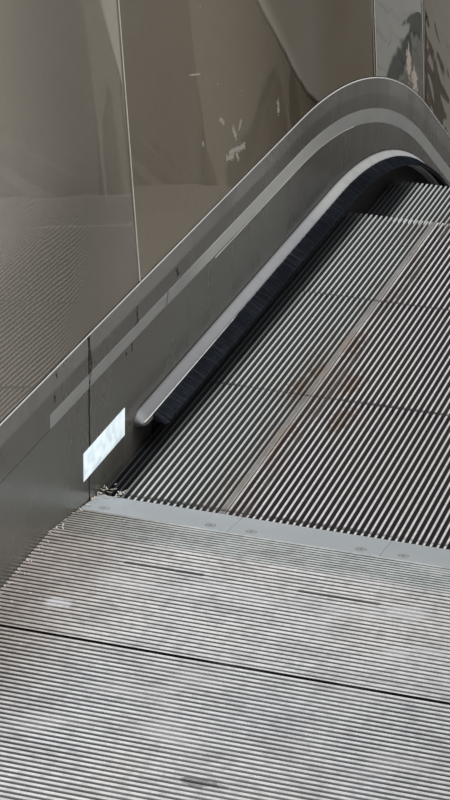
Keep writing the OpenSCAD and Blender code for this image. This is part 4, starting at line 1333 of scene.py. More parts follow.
        # Dark ring round each screw head and its cross: painted shade of the countersink and the recess.
        self.recess_shade = Rubber("screw_recess_shade", (0.17, 0.18, 0.185), (0.24, 0.25, 0.255), 0.7).make()
        self.frame = CastPlate("step_frame_casting", (0.30, 0.30, 0.295), (0.20, 0.195, 0.19), rough=0.5).make()
        self.roller = Rubber("roller_tyre", (0.05, 0.05, 0.05), (0.12, 0.115, 0.105), 0.5).make()
        self.truss = Galvanised("truss_steel", (0.36, 0.37, 0.37), (0.24, 0.25, 0.255), (0.20, 0.19, 0.17)).make()
        self.track = Galvanised("track_steel", (0.26, 0.26, 0.27), (0.18, 0.18, 0.185), (0.09, 0.085, 0.075)).make()
        self.debris = Rubber("dry_bits", (0.74, 0.68, 0.60), (0.93, 0.92, 0.89), 0.8).make()


# Sub-assemblies


@dataclass
class StepBand:
    """The twenty steps, each a grooved tread and riser with its side frames and rollers.

    Args:
        finishes: the machine's finishes.
        count: number of steps.
        half_w: half the width of a step.
        cleat: half the width of a cleat's crest.
        cleat_foot: half its width at the groove.
        cleat_pitch: distance between cleats.
        broad_at: distance of the two broad cleats from the middle.
        broad: half the width of a broad cleat's crest.
        depth: depth of the tread's grooves.
        riser_depth: depth of the riser's grooves.
        tread_len: length of the tread behind its nosing.
        tread_t: thickness of the tread.
        riser_t: thickness of the riser.
        riser_angle: angle that the riser's arc covers.
        cheek_y: distance of a side frame from the middle.
        cheek_t: thickness of a side frame.
        axle: place and level of the chain axle from the nosing.
        trail: place and level of the trailing axle.
        axle_r: radius of both axles.
        roller_r: radius of a chain roller.
        trail_r: radius of a trailing roller.
        roller_w: width of a roller.
        roller_off: gap between a roller and its side frame.
    """

    finishes: Finishes
    count: int = 20
    half_w: float = 0.4985
    cleat: float = 0.00145
    cleat_foot: float = 0.0019
    cleat_pitch: float = 0.2 / 22
    broad_at: float = 0.33025
    broad: float = 0.0042
    depth: float = 0.011
    riser_depth: float = 0.008
    tread_len: float = 0.3985
    tread_t: float = 0.030
    riser_t: float = 0.020
    riser_angle: float = math.radians(31.7)
    cheek_y: float = 0.428
    cheek_t: float = 0.012
    axle: tuple[float, float] = (-0.070, -0.285)
    trail: tuple[float, float] = (-0.345, -0.190)
    axle_r: float = 0.012
    roller_r: float = 0.038
    trail_r: float = 0.035
    roller_w: float = 0.035
    roller_off: float = 0.005

    def nosing(self, s: float) -> tuple[float, float]:
        """Place of a nosing at a length along the band: level, arc, straight at the slope, arc, level.

        Args:
            s: length along the band from the upper comb line.
        Returns:
            Place along the run and level.
        """
        line = PLAN.steps
        bend_top = line.flat + line.r_top * line.slope
        straight = (line.rise - (line.r_top + line.r_low) * (1 - math.cos(line.slope))) / math.sin(line.slope)
        bend_low = bend_top + straight
        flat_low = bend_low + line.r_low * line.slope
        if s <= line.flat:
            return s, 0.0
        if s <= bend_top:
            a = (s - line.flat) / line.r_top
            return line.flat + line.r_top * math.sin(a), -line.r_top * (1 - math.cos(a))
        if s <= bend_low:
            along = s - bend_top
            x = line.flat + line.r_top * math.sin(line.slope) + along * math.cos(line.slope)
            return x, -line.r_top * (1 - math.cos(line.slope)) - along * math.sin(line.slope)
        if s <= flat_low:
            a = (flat_low - s) / line.r_low
            return line.foot - line.r_low * math.sin(a), line.r_low * (1 - math.cos(a)) - line.rise
        return line.foot + s - flat_low, -line.rise

    def casting(self) -> tuple[Array, Array]:
        """Grooved casting about its nosing: for each line across the step, point = crest (1 - w) + groove w, with w
        0 on a cleat and 1 in a groove. The riser follows an arc of one pitch about the next nosing.

        Returns:
            Rings (line, point, xyz) and their map values: place along the step, and depth under the crest.
        """
        pitch, top_d, low_d = PLAN.pitch, self.depth, self.riser_depth
        nick = 0.0008
        t = np.linspace(0, 1, 7)
        a_crest = nick / pitch + (self.riser_angle - nick / pitch) * t
        start = math.asin((top_d + nick) / (pitch - low_d))
        a_groove = start + (self.riser_angle - start) * t
        crest_arc = np.stack([pitch * (np.cos(a_crest) - 1), -pitch * np.sin(a_crest)], -1)
        inner = pitch - low_d
        groove_arc = np.stack([inner * np.cos(a_groove) - pitch, -inner * np.sin(a_groove)], -1)
        crest_top = np.array([[-self.tread_len, 0.0], [-nick, 0.0], [-0.3 * nick, -0.3 * nick]])
        groove_top = np.array([[-self.tread_len, -top_d], [-low_d - nick, -top_d], [-low_d, -top_d - 0.2 * nick]])
        back_r = pitch - self.riser_t
        a_back = np.linspace(self.riser_angle, math.asin(self.tread_t / back_r), 5)
        back = np.stack([back_r * np.cos(a_back) - pitch, -back_r * np.sin(a_back)], -1)
        back = np.concatenate([back, [[-self.tread_len, -self.tread_t]]])
        crest = np.concatenate([crest_top, crest_arc, back])
        groove = np.concatenate([groove_top, groove_arc, back])
        steps = np.arange(-55, 55)
        middle = (steps + 0.5) * self.cleat_pitch
        wide = np.abs(np.abs(middle) - self.broad_at) < 0.4 * self.cleat_pitch
        middle = np.where(wide, np.sign(middle) * self.broad_at, middle)
        half = np.where(wide, self.broad, self.cleat)
        foot = half + self.cleat_foot - self.cleat
        y = np.stack([middle - foot, middle - half, middle + half, middle + foot], -1).ravel()
        w = np.tile([1.0, 0.0, 0.0, 1.0], len(middle))
        y = np.concatenate([[-self.half_w], y, [self.half_w]])
        w = np.concatenate([[1.0], w, [1.0]])
        flat = crest[None] * (1 - w[:, None, None]) + groove[None] * w[:, None, None]
        rings = np.insert(flat, 1, np.broadcast_to(y[:, None], flat.shape[:2]), axis=2)
        face = np.ones(len(crest))
        face[-len(back):] = 0.0
        deep = np.where(face > 0, w[:, None], 1.0) * top_d
        run = np.stack([np.broadcast_to(crest[None, :, 0], deep.shape), deep], -1)
        return rings, run

    def disc(self, centre: tuple[float, float], radius: float, y0: float, y1: float, parts: int = 32) -> Array:
        """Roller or axle: circles of radius r (cos a, sin a) at four places, the outer two smaller by an edge.

        Args:
            centre: place and level of the middle.
            radius: its radius.
            y0: first face.
            y1: last face.
            parts: points round it.
        Returns:
            Rings (place, point, xyz).
        """
        a = np.linspace(0, 2 * math.pi, parts, endpoint=False)
        edge = min(0.003, 0.2 * radius)
        y = np.array([y0, y0 + edge, y1 - edge, y1])[:, None]
        r = np.array([radius - edge, radius, radius, radius - edge])[:, None]
        x = centre[0] + r * np.cos(a)[None]
        z = centre[1] + r * np.sin(a)[None]
        return np.stack([x, np.broadcast_to(y, x.shape), z], -1)

    def cheek(self) -> Array:
        """Outline of a side frame, from under the tread to the two axles."""
        (ax, az), (tx, tz) = self.axle, self.trail
        top, arm = 0.002 - self.tread_t, 2 * self.axle_r
        return np.array([
            [0.02 - self.tread_len, top], [-self.riser_t, top], [ax - 0.002, az + 0.077], [ax + 0.008, az + 0.050],
            [ax + arm, az + 0.010], [ax + arm, az - 0.015], [ax - arm, az - 0.015], [ax - 0.040, az + 0.035],
            [tx / 2 - 0.030, tz + 0.050], [tx + arm, tz - arm], [tx - arm, tz - arm], [tx - arm, tz + arm],
        ])

    def build(self) -> None:
        """Makes the twenty step pieces."""
        rings, run = self.casting()
        outline = rounded(self.cheek(), 0.008, 3)
        roller_y = self.cheek_y + self.cheek_t + self.roller_off
        trail_y = self.cheek_y - self.roller_off - self.roller_w
        dress = [self.finishes.tread, self.finishes.frame, self.finishes.roller]
        for number in range(1, self.count + 1):
            x, z = self.nosing(PLAN.first_nosing + (number - 1) * PLAN.pitch)
            shift = np.array([x, 0.0, z])
            shell = Shell(f"grooved_step_{number:02d}")
            shell.tube(rings + shift, run)
            for side in Side:
                turn = side.turn
                move = lambda p, turn=turn, shift=shift: p * turn + shift
                shell.prism(outline, self.cheek_y, self.cheek_y + self.cheek_t, move, finish=1)
                for centre, radius, y in ((self.axle, self.roller_r, roller_y), (self.trail, self.trail_r, trail_y)):
                    shell.tube(move(self.disc(centre, radius, y, y + self.roller_w)), finish=2)
                axle = self.disc(self.axle, self.axle_r, self.cheek_y - 0.002, roller_y + self.roller_w + 0.0005, 20)
                trail = self.disc(self.trail, self.axle_r, trail_y - 0.0005, self.cheek_y + self.cheek_t + 0.002, 20)
                shell.tube(move(axle), finish=1)
                shell.tube(move(trail), finish=1)
            shell.build(dress, "step", [f"step_{number:02d}"])


@dataclass
class Landing:
    """Combs, comb plate and floor covers of one landing, drawn from the comb line outwards.

    Args:
        finishes: the machine's finishes.
        end: which landing.
        pit: length of the landing's floor.
        comb_len: length of a comb segment without its teeth.
        comb_h: level of its back edge over the treads.
        comb_front: level of its front edge.
        comb_gap: gap round a segment.
        tongue_back: place where the comb plate's thin tongue ends.
        tongue_t: thickness of the tongue.
        segment: width of a segment.
        segments: number of segments.
        teeth: number of grooves that a segment spans.
        ramp_end: place where the ramp ends.
        plate_end: place where the comb plate ends.
        plate_low: level of the floor plates' underside.
        cover: length of the first cover.
        rib_pitch: distance between ribs.
        rib: half the width of a rib's crest on the comb plate.
        cover_rib: half the width of a rib's crest on the covers.
        rib_slope: how much wider a rib is at its foot, on each side.
        rib_depth: depth of the grooves.
        wide_groove: place of the comb plate's wide groove.
        widened: how far its walls stand back.
        open_spans: distances from the middle between which it is open.
        screw_off: distance of a screw from its segment's side.
        screw_back: distance of a screw from the comb line.
        screw_r: radius of a screw.
    """

    finishes: Finishes
    end: End
    pit: float
    comb_len: float = 0.070
    comb_h: float = 0.012
    comb_front: float = 0.001
    comb_gap: float = 0.0005
    tongue_back: float = 0.030
    tongue_t: float = 0.003
    segment: float = 0.2
    segments: int = 5
    teeth: int = 22
    ramp_end: float = 0.170
    plate_end: float = 0.419
    plate_low: float = 0.001
    cover: float = 0.980
    rib_pitch: float = 0.2 / 22
    rib: float = 0.0025
    cover_rib: float = 0.0021
    rib_slope: float = 0.0005
    rib_depth: float = 0.0035
    wide_groove: float = 0.2227
    widened: float = 0.0011
    open_spans: tuple[float, ...] = (0.060, 0.162, 0.282, 0.384)
    screw_off: float = 0.0275
    screw_back: float = 0.053
    screw_r: float = 0.0066

    @property
    def lean(self) -> float:
        """Rise of a comb segment's top face along its length."""
        return (self.comb_h - self.comb_front) / self.comb_len

    def place(self, points: Array) -> Array:
        """Moves points from the landing's own frame to their place."""
        if self.end is End.UPPER:
            return points * OUTWARDS
        return points + np.array([PLAN.comb_x, 0.0, -PLAN.steps.rise])

    def surface(self, x: Array) -> Array:
        """Level of the floor at a distance from the comb line: a ramp from the comb's back edge, then level."""
        return np.interp(x, [self.comb_len, self.ramp_end], [self.comb_h, PLAN.floor])

    def ribbed(self, x0: float, x1: float, widened: float = 0.0) -> tuple[Array, Array]:
        """Ribbed top of a floor plate from x0 to x1: every rib gives four points, foot, crest, crest, foot, with the
        grooves one rib depth lower, a cut rib where one meets the plate's edge, and one wider and deeper groove in the
        comb plate. The edges count as deep, so that the dirt of the joints darkens them.

        Args:
            x0: first place.
            x1: last place.
            widened: how far both walls of the wide groove stand back.
        Returns:
            Points (x, z) and their depth under the crest.
        """
        half = self.rib if x0 < self.plate_end else self.cover_rib
        foot = half + self.rib_slope
        first = math.ceil((x0 + foot) / self.rib_pitch)
        last = math.floor((x1 - foot) / self.rib_pitch)
        middle = np.arange(first, last + 1) * self.rib_pitch
        x = (middle[:, None] + np.array([-foot, -half, half, foot])).ravel()
        w = np.tile([1.0, 0.0, 0.0, 1.0], len(middle))
        before, after = (first - 1) * self.rib_pitch, (last + 1) * self.rib_pitch
        start = ([x0, before + half, before + foot], [0.0, 0.0, 1.0]) if before + half > x0 + 0.0004 else ([x0], [1.0])
        stop = ([after - foot, after - half, x1], [1.0, 0.0, 0.0]) if after - half < x1 - 0.0004 else ([x1], [1.0])
        x, w = np.concatenate([start[0], x, stop[0]]), np.concatenate([start[1], w, stop[1]])
        wider = np.abs(x - self.wide_groove) < 0.5 * self.rib_pitch
        x = np.where(wider, x + np.sign(x - self.wide_groove) * widened, x)
        deep = w * self.rib_depth * np.where(wider & (w > 0), 1 + 1.4 * widened / self.widened, 1.0)
        level = self.surface(x) - deep
        ends = np.array([deep[0], deep[-1]])
        share = np.where(ends > 0, 1.7 * self.rib_depth, 0.0)
        deep[[0, -1]] = share
        edge_x, edge_z = np.array([x0, x1]), level[[0, -1]] - 0.0003
        x = np.concatenate([edge_x[:1], x, edge_x[1:]])
        level = np.concatenate([edge_z[:1], level, edge_z[1:]])
        deep = np.concatenate([[2 * self.rib_depth], deep, [2 * self.rib_depth]])
        return np.stack([x, level], -1), deep

    def plate(self, shell: Shell, x0: float, x1: float, y0: float, y1: float, under: Array) -> None:
        """Ribbed plate: the ribbed top closed by its underside, carried from y0 to y1, with the wide groove only in
        its open stretches.

        Args:
            shell: the piece it joins.
            x0: first place of the ribbed top.
            x1: last place.
            y0: first side.
            y1: last side.
            under: points of the underside, from x1 back to x0.
        """
        opened = [s * y for s in (-1, 1) for y in self.open_spans] if x0 < self.plate_end else []
        fade = np.sort(opened).reshape(-1, 2)[:, :, None] + np.array([[-0.0015, 0.0015], [-0.0015, 0.0015]])
        ys = np.concatenate([[y0], fade.ravel(), [y1]])
        wide = np.concatenate([[0.0], np.tile([0.0, 1.0, 1.0, 0.0], len(fade)), [0.0]]) * self.widened
        rings, maps = [], []
        for y, widened in zip(ys, wide):
            top, deep = self.ribbed(x0, x1, widened)
            loop = np.concatenate([top, under])
            deep = np.concatenate([deep, np.full(len(under), 2 * self.rib_depth)])
            rings.append(np.insert(loop, 1, y, axis=1))
            maps.append(np.stack([loop[:, 0], deep], -1))
        shell.tube(self.place(np.stack(rings)), np.stack(maps))

    def comb_plate(self) -> None:
        """Makes the ramp and level plate behind the combs."""
        low = self.plate_low
        reach = PLAN.skirt - self.comb_gap
        step = self.comb_gap + self.tongue_t
        under = np.array([
            [self.plate_end, low], [self.tongue_back, low], [self.tongue_back, step], [self.comb_len, step],
        ])
        shell = Shell(f"{self.end.value}_ribbed_plate")
        self.plate(shell, self.comb_len, self.plate_end, -reach, reach, under)
        shell.build([self.finishes.floor], "floor", [f"{self.end.value}_comb_plate"])

    def covers(self) -> None:
        """Makes the lift-out floor covers."""
        low = self.plate_low
        reach = PLAN.skirt - self.comb_gap
        first = self.plate_end + PLAN.floor_joint
        second = first + self.cover
        wide = PLAN.base_end + PLAN.end_plate + PLAN.floor_joint
        shell = Shell(f"{self.end.value}_ribbed_covers")
        spans = [(first, second - PLAN.floor_joint, -reach, reach), (second, self.pit, -reach, reach)]
        spans += [(wide, self.pit, reach + PLAN.floor_joint, PLAN.wall)]
        spans += [(wide, self.pit, -PLAN.wall, -reach - PLAN.floor_joint)]
        for x0, x1, y0, y1 in spans:
            self.plate(shell, x0, x1, y0, y1, np.array([[x1, low], [x0, low]]))
        shell.build([self.finishes.floor], "floor", [f"{self.end.value}_floor_covers"])

    def tooth(self) -> Array:
        """Side view of a comb tooth, from inside the segment down into the groove."""
        return np.array([
            [0.012, 0.0016], [0.004, 0.0006], [0.0005, 0.0002], [-0.0025, -0.0030], [-0.0035, -0.0055],
            [-0.0020, -0.0075], [0.006, -0.0080], [0.012, -0.0020],
        ])

    def disc(self, radii: Sequence[float], levels: Sequence[float], cross: float = 0.0) -> Array:
        """Flat part of a screw: circles of radius r (1 + cross cos 4a) at levels z, leaned to the comb's top face.

        Args:
            radii: radius of each circle as a share of the screw's own.
            levels: level of each circle in millimetres over the comb's top face.
            cross: depth of the four lobes.
        Returns:
            Rings (circle, point, xyz) about the screw's middle.
        """
        a = np.linspace(0, 2 * math.pi, 32, endpoint=False)[None]
        radius = np.array(radii)[:, None] * self.screw_r * (1 + cross * np.cos(4 * a))
        x, y = radius * np.cos(a), radius * np.sin(a)
        return np.stack([x, y, np.array(levels)[:, None] * MM + x * self.lean], -1)

    def combs(self) -> None:
        """Makes the five comb segments with their teeth and screws."""
        gap, length = self.comb_gap, self.comb_len
        rise = self.lean
        front = 0.0006
        lip = self.comb_front + rise * front
        outline = np.array([
            [front, gap + 0.0001], [self.tongue_back, gap], [self.tongue_back, gap + self.tongue_t],
            [length - 0.0002, gap + self.tongue_t], [length - 0.0002, self.comb_h - 0.0006],
            [length - 0.001, self.comb_h - 0.0001], [front + 0.002, lip + 0.002 * rise], [front, lip - 0.0002],
        ])
        shell = Shell(f"{self.end.value}_toothed_combs")
        tooth, half = self.tooth(), 0.0016
        # The ring round each head and the cross take the dark recess finish: painted shade of the countersink and the
        # recess.
        screw = [
            (self.disc((1.10, 1.10), (-0.6, 0.06)), 2),
            (self.disc((0.98, 0.98, 0.90), (-0.6, 0.10, 0.16)), 1),
            (self.disc((0.30, 0.30), (0.0, 0.20), 0.5), 2),
        ]
        level = self.comb_front + rise * self.screw_back
        edge = 0.0006
        spoke = outline - outline.mean(0)
        drawn = np.array([edge, 0, 0, edge])[:, None, None] / 2
        flat = outline[None] - drawn * (spoke / np.linalg.norm(spoke, axis=1)[:, None])[None]
        offsets = np.array([gap / 2, gap / 2 + edge, self.segment - gap / 2 - edge, self.segment - gap / 2])
        for number in range(self.segments):
            y0 = (number - self.segments / 2) * self.segment
            rings = np.insert(flat, 1, np.broadcast_to((y0 + offsets)[:, None], flat.shape[:2]), axis=2)
            shell.tube(self.place(rings))
            for k in range(1, self.teeth):
                y = y0 + k * self.rib_pitch
                shell.prism(tooth, y - half, y + half, self.place)
            for y in (y0 + self.screw_off, y0 + self.segment - self.screw_off):
                for rings, finish in screw:
                    shell.tube(self.place(rings + np.array([self.screw_back, y, level])), finish=finish)
        dress = [self.finishes.comb, self.finishes.screw, self.finishes.recess_shade]
        shell.build(dress, "comb", [f"{self.end.value}_combs"])

    def build(self) -> None:
        """Makes the landing's pieces."""
        self.comb_plate()
        self.covers()
        self.combs()


@dataclass
class Balustrade:
    """Skirt, band, strip, panels, cap and handrail of one side. Heights are over the run.

    Args:
        finishes: the machine's finishes.
        side: which side.
        skirt_h: height of the skirt's top edge.
        skirt_below: depth of the skirt under the treads.
        strip_low: height of the strip's lower edge at the landings.
        strip_top: height of its upper edge.
        strip_start: place where it starts at a landing.
        lip_low: height of its lower edge where it is widest.
        lip_start: distance past the comb line where it starts to widen.
        lip_full: distance where it is widest, and its lip starts.
        lip_stop: distance where its lip ends.
        chord_below: depth of the skirt beside the floor.
        casing_top: height of the casing's top edge.
        panel_t: thickness of the inner panels.
        rail_y: distance of the handrail from the middle.
        rail_top: height of its top.
        rail_low: height of its lower edge.
        rail_half: half its width.
        guide_top: height of its guide.
        cap_low: height of the cap's underside.
        cap_top: height of the cap's top.
        cap_in: distance of the cap's inner edge from the middle.
        bead: half the height of the bright bead on the band.
        fold: radius of the inner panels' folded ends.
    """

    finishes: Finishes
    side: Side
    skirt_h: float = 0.165
    skirt_below: float = 0.200
    strip_low: float = 0.166
    strip_top: float = 0.185
    strip_start: float = 0.168
    lip_low: float = 0.1592
    lip_start: float = 0.27
    lip_full: float = 0.50
    lip_stop: float = 1.30
    chord_below: float = 0.060
    casing_top: float = -0.040
    panel_t: float = 0.004
    rail_y: float = 0.620
    rail_top: float = 0.994
    rail_low: float = 0.967
    rail_half: float = 0.040
    guide_top: float = 0.9807
    cap_low: float = 0.9527
    cap_top: float = 0.9647
    cap_in: float = 0.5555
    bead: float = 0.0013
    fold: float = 0.0036

    def turn(self, points: Array) -> Array:
        """Puts points on this side."""
        return points * self.side.turn

    def upper(self, points: Array) -> Array:
        """Places a landing's points at the upper end of this side."""
        return self.turn(points) * OUTWARDS

    def lower(self, points: Array) -> Array:
        """Places a landing's points at the lower end of this side."""
        return self.turn(points) + np.array([PLAN.comb_x, 0.0, -PLAN.side.rise])

    def ribbon(
        self, shell: Shell, x0: float, x1: float, h: Array, front: Array, back: Array, finish: int = 0, fold: float = 0
    ) -> None:
        """Sheet along the run: at each place a ring goes up the front at heights h and down the back. At a folded
        end the front turns back on a quarter circle: at fold (1 - cos b) from the end it lies fold (1 - sin b) back.

        Args:
            shell: the piece it joins.
            x0: first place.
            x1: last place.
            h: rising heights over the run.
            front: distance of the front from the middle at each height.
            back: distance of the back.
            finish: index of the finish.
            fold: radius of the folded ends, or 0.
        """
        xs = PLAN.side.places(x0 + fold, x1 - fold, h[0], h[-1])
        b = np.linspace(0, math.pi / 2, 7)[:-1] if fold else np.zeros(0)
        off, sunk = fold * (1 - np.cos(b)), fold * (1 - np.sin(b))
        xs = np.concatenate([x0 + off, xs, (x1 - off)[::-1]])
        sunk = np.concatenate([sunk, np.zeros(len(xs) - 2 * len(b)), sunk[::-1]])
        high = np.concatenate([h, h[::-1]])
        across = np.concatenate([front, back[::-1]])
        moved = np.concatenate([np.ones(len(h)), np.zeros(len(h))])[None] * sunk[:, None]
        x = np.broadcast_to(xs[:, None], (len(xs), len(high)))
        level = PLAN.side.height(x, np.broadcast_to(high, x.shape))
        rings = np.stack([x, across[None] + moved, level], -1)
        run = np.stack([x, np.broadcast_to(high, x.shape)], -1)
        shell.tube(self.turn(rings), run, finish=finish)

    def lengths(self) -> list[tuple[float, float]]:
        """Ends of the skirt's lengths along the steps."""
        seams, gap = PLAN.seams, PLAN.joint / 2
        edges = [-PLAN.skirt_seam, *seams[2:PLAN.bays:2], PLAN.comb_x + PLAN.skirt_seam]
        return [(a + gap, b - gap) for a, b in zip(edges[:-1], edges[1:])]

    def ends(self, shell: Shell, outline: Array, y0: Array, y1: Array, finish: int = 0) -> None:
        """Adds a landing's plate at both ends."""
        for place in (self.upper, self.lower):
            shell.prism(outline, y0, y1, place, finish)

    def skirt(self) -> None:
        """Makes the skirt."""
        y0, y1 = PLAN.skirt, PLAN.skirt + PLAN.skirt_t
        gap = PLAN.joint / 2
        shell = Shell(f"{self.side.word}_skirt_sheet")
        near = PLAN.skirt_seam + gap
        outline = np.array([
            [near, -self.skirt_below], [PLAN.pitch, -self.skirt_below], [PLAN.pitch, -self.chord_below],
            [PLAN.base_end, -self.chord_below], [PLAN.base_end, self.skirt_h], [near, self.skirt_h],
        ])
        self.ends(shell, outline, y0, y1)
        h = np.linspace(-self.skirt_below, self.skirt_h, 6)
        for x0, x1 in self.lengths():
            self.ribbon(shell, x0, x1, h, np.full(6, y0), np.full(6, y1))
        shell.build([self.finishes.skirt], "skirt", [f"{self.side.word}_skirt"])

    def band(self) -> None:
        """Makes the band over the skirt, with a bead on its top edge painted near-white as a highlight and a thin dark
        line above it painted as shade.
        """
        y0, y1 = PLAN.skirt, PLAN.skirt + PLAN.skirt_t
        near = PLAN.skirt_seam + PLAN.joint / 2
        shell = Shell(f"{self.side.word}_band_sheet")
        outline = np.array([
            [near, self.strip_top], [self.strip_start, self.strip_top], [self.strip_start, self.strip_low],
            [PLAN.base_end, self.strip_low], [PLAN.base_end, PLAN.band_top], [near, PLAN.band_top],
        ])
        self.ends(shell, outline, y0, y1)
        h = np.linspace(self.strip_top, PLAN.band_top, 4)
        for x0, x1 in self.lengths():
            self.ribbon(shell, x0, x1, h, np.full(4, y0), np.full(4, y1))
        ends = (-PLAN.base_end, PLAN.comb_x + PLAN.base_end)
        # Bead in the near-white edge finish: a painted highlight.
        self.beads(shell, PLAN.band_top - 0.0002, self.bead, *ends)
        # Thin line above it in the near-black finish: painted shade.
        self.beads(shell, PLAN.band_top + 1.5 * self.bead, 0.6 * self.bead, *ends, finish=2)
        shell.build([self.finishes.band, self.finishes.edge, self.finishes.painted_shade], "band", [f"{self.side.word}_band"])

    def beads(self, shell: Shell, h: float, r: float, x0: float, x1: float, finish: int = 1) -> None:
        """Thin bead along the sheet: half an ellipse (reach r sin a, height h + r cos a) closed at the sheet's face.

        Args:
            shell: the piece it joins.
            h: height of its middle over the run.
            r: half its height.
            x0: first place.
            x1: last place.
            finish: index of the finish.
        """
        a = np.linspace(0, math.pi, 9)
        xs = PLAN.side.places(x0, x1, h, h, 40)
        high = np.concatenate([[h + r], h + r * np.cos(a), [h - r]])
        reach = np.concatenate([[-0.0005], 0.8 * r * np.sin(a), [-0.0005]])
        rings, run = carried(PLAN.side, xs, np.stack([reach, high], -1))
        shell.tube(self.turn(rings), run, finish=finish)

    def strip_forms(self, shell: Shell) -> None:
        """Adds this side's satin strip, which gets wider downwards along the steps, and its fine lip, painted
        near-white as a highlight.
        """
        y0, y1 = PLAN.skirt, PLAN.skirt + PLAN.skirt_t
        proud = 0.0003
        near = PLAN.skirt_seam + PLAN.joint / 2
        outline = np.array([
            [near, self.strip_low], [self.strip_start, self.strip_low],
            [self.strip_start, self.strip_top], [near, self.strip_top],
        ])
        self.ends(shell, outline, y0 - proud, y1)
        low, high = self.strip_low, self.strip_top
        h = np.array([low, low + 0.0004, high - 0.0001, high])
        front = np.array([y0, y0 - proud, y0 - proud, y0])
        for x0, x1 in self.lengths():
            self.ribbon(shell, x0, x1, h, front, np.full(4, y1))
        xs = PLAN.side.places(self.lip_start, PLAN.comb_x - self.lip_start, self.lip_low, low, 40)
        inward = np.minimum(xs, PLAN.comb_x - xs)
        edge = np.interp(inward, [self.lip_start, self.lip_full], [low - 0.0005, self.lip_low])
        level = np.stack([edge, edge + 0.0003, np.full_like(edge, low + 0.0002), np.full_like(edge, low + 0.0002)], -1)
        x = np.broadcast_to(xs[:, None], level.shape)
        front = np.broadcast_to(y0 - np.array([-0.0005, proud, proud, -0.0005]), x.shape)
        rings = np.stack([x, front, PLAN.side.height(x, level)], -1)
        shell.tube(self.turn(rings), np.stack([x, level], -1))
        # The lip beads take the near-white lip finish: a painted highlight.
        for x0, x1 in ((self.lip_full, self.lip_stop), (PLAN.comb_x - self.lip_stop, PLAN.comb_x - self.lip_full)):
            self.beads(shell, self.lip_low, 0.0006, x0, x1)

    def newel(self, shell: Shell, low: float, face: Callable[[Array], Array], thick: float, fold: float) -> None:
        """Adds the panel of both landings. Going outwards, each ring runs up the front from the lower edge to the
        upper edge and down the back; past the base both edges follow the circle newel_h -+ sqrt(r^2 - (x - newel_x)^2).

        Args:
            shell: the piece it joins.
            low: height of the lower edge.
            face: distance of the front from the middle at a height.
            thick: thickness of the sheet.
            fold: radius of the folded edge at the joint, or 0.
        """
        r, near = PLAN.newel_r, -PLAN.seam + PLAN.joint / 2
        b = np.linspace(0, math.pi / 2, 7)[:-1] if fold else np.zeros(0)
        folded = near + fold * (1 - np.cos(b))
        plain = np.linspace(near + fold, PLAN.base_end, 8)
        turned = PLAN.newel_x + r * np.sin(np.linspace(0, math.radians(88.5), 40))
        x = np.concatenate([folded, plain, [PLAN.base_end + 0.0001, PLAN.newel_x - 0.001], turned])
        reach = np.sqrt(r**2 - np.maximum(x - PLAN.newel_x, 0) ** 2)
        past = x > PLAN.base_end
        lower = np.where(past, PLAN.newel_h - reach, low)
        upper = np.where(past, PLAN.newel_h + reach, PLAN.panel_top)
        t = np.linspace(0, 1, 8)[None]
        h = lower[:, None] * (1 - t) + upper[:, None] * t
        sunk = np.concatenate([fold * (1 - np.sin(b)), np.zeros(len(x) - len(b))])[:, None]
        front, back = face(h) + sunk, face(h) + thick
        high = np.concatenate([h, h[:, ::-1]], axis=1)
        across = np.concatenate([front, back[:, ::-1]], axis=1)
        rings = np.stack([np.broadcast_to(x[:, None], high.shape), across, high], -1)
        for place in (self.upper, self.lower):
            placed = place(rings)
            shell.tube(placed, np.stack([placed[..., 0], high], -1))

    def inner_panels(self) -> None:
        """Makes the leaning polished panels with folded ends, and a thin strip beside each joint painted near-white as
        a highlight.
        """
        shell = Shell(f"{self.side.word}_mirror_panels")
        self.newel(shell, PLAN.band_top, PLAN.lean_y, self.panel_t, self.fold)
        h = np.linspace(PLAN.band_top, PLAN.panel_top, 8)
        front = PLAN.lean_y(h)
        seams, gap = PLAN.inner_seams, PLAN.joint / 2
        for a, b in zip(seams[:-1], seams[1:]):
            self.ribbon(shell, a + gap, b - gap, h, front, front + self.panel_t, fold=self.fold)
        # Thin strips beside the joints in the near-white edge finish: a painted highlight.
        for seam in seams:
            edge = seam + gap + 0.6 * self.fold
            self.ribbon(shell, edge, edge + 0.0026, h, front - 0.0004, front + 0.001, finish=1)
        word = self.side.word
        shell.build([self.finishes.panel, self.finishes.edge], "panel", [f"{word}_inner_panels"])

    def outer_panels(self) -> None:
        """Makes the upright outer panels."""
        low = self.casing_top + PLAN.joint
        y0, y1 = PLAN.wall, PLAN.wall + PLAN.sheet_t
        shell = Shell(f"{self.side.word}_outer_sheets")
        self.newel(shell, low, lambda h: np.full_like(h, y0), PLAN.sheet_t, 0.0)
        h = np.linspace(low, PLAN.panel_top, 8)
        seams, gap = PLAN.seams, PLAN.joint / 2
        for a, b in zip(seams[:-1], seams[1:]):
            self.ribbon(shell, a + gap, b - gap, h, np.full(8, y0), np.full(8, y1))
        shell.build([self.finishes.outer], "panel", [f"{self.side.word}_outer_panels"])

    @staticmethod
    def top_stations(parts: int = 26) -> Array:
        """Stations (x, z, tilt) along the line through the newel centres, with both bends divided evenly."""
        line, rise_h = PLAN.side, PLAN.newel_h
        a = np.linspace(0, line.slope, parts)
        up_r, down_r = line.r_top + rise_h, line.r_low - rise_h
        up = np.stack([line.flat + up_r * np.sin(a), up_r * np.cos(a) - line.r_top, a], -1)
        b = a[::-1]
        down = np.stack([line.foot - down_r * np.sin(b), line.r_low - line.rise - down_r * np.cos(b), b], -1)
        first = [[-PLAN.newel_x, rise_h, 0.0]]
        last = [[PLAN.comb_x + PLAN.newel_x, rise_h - line.rise, 0.0]]
        return np.concatenate([first, up, down, last])

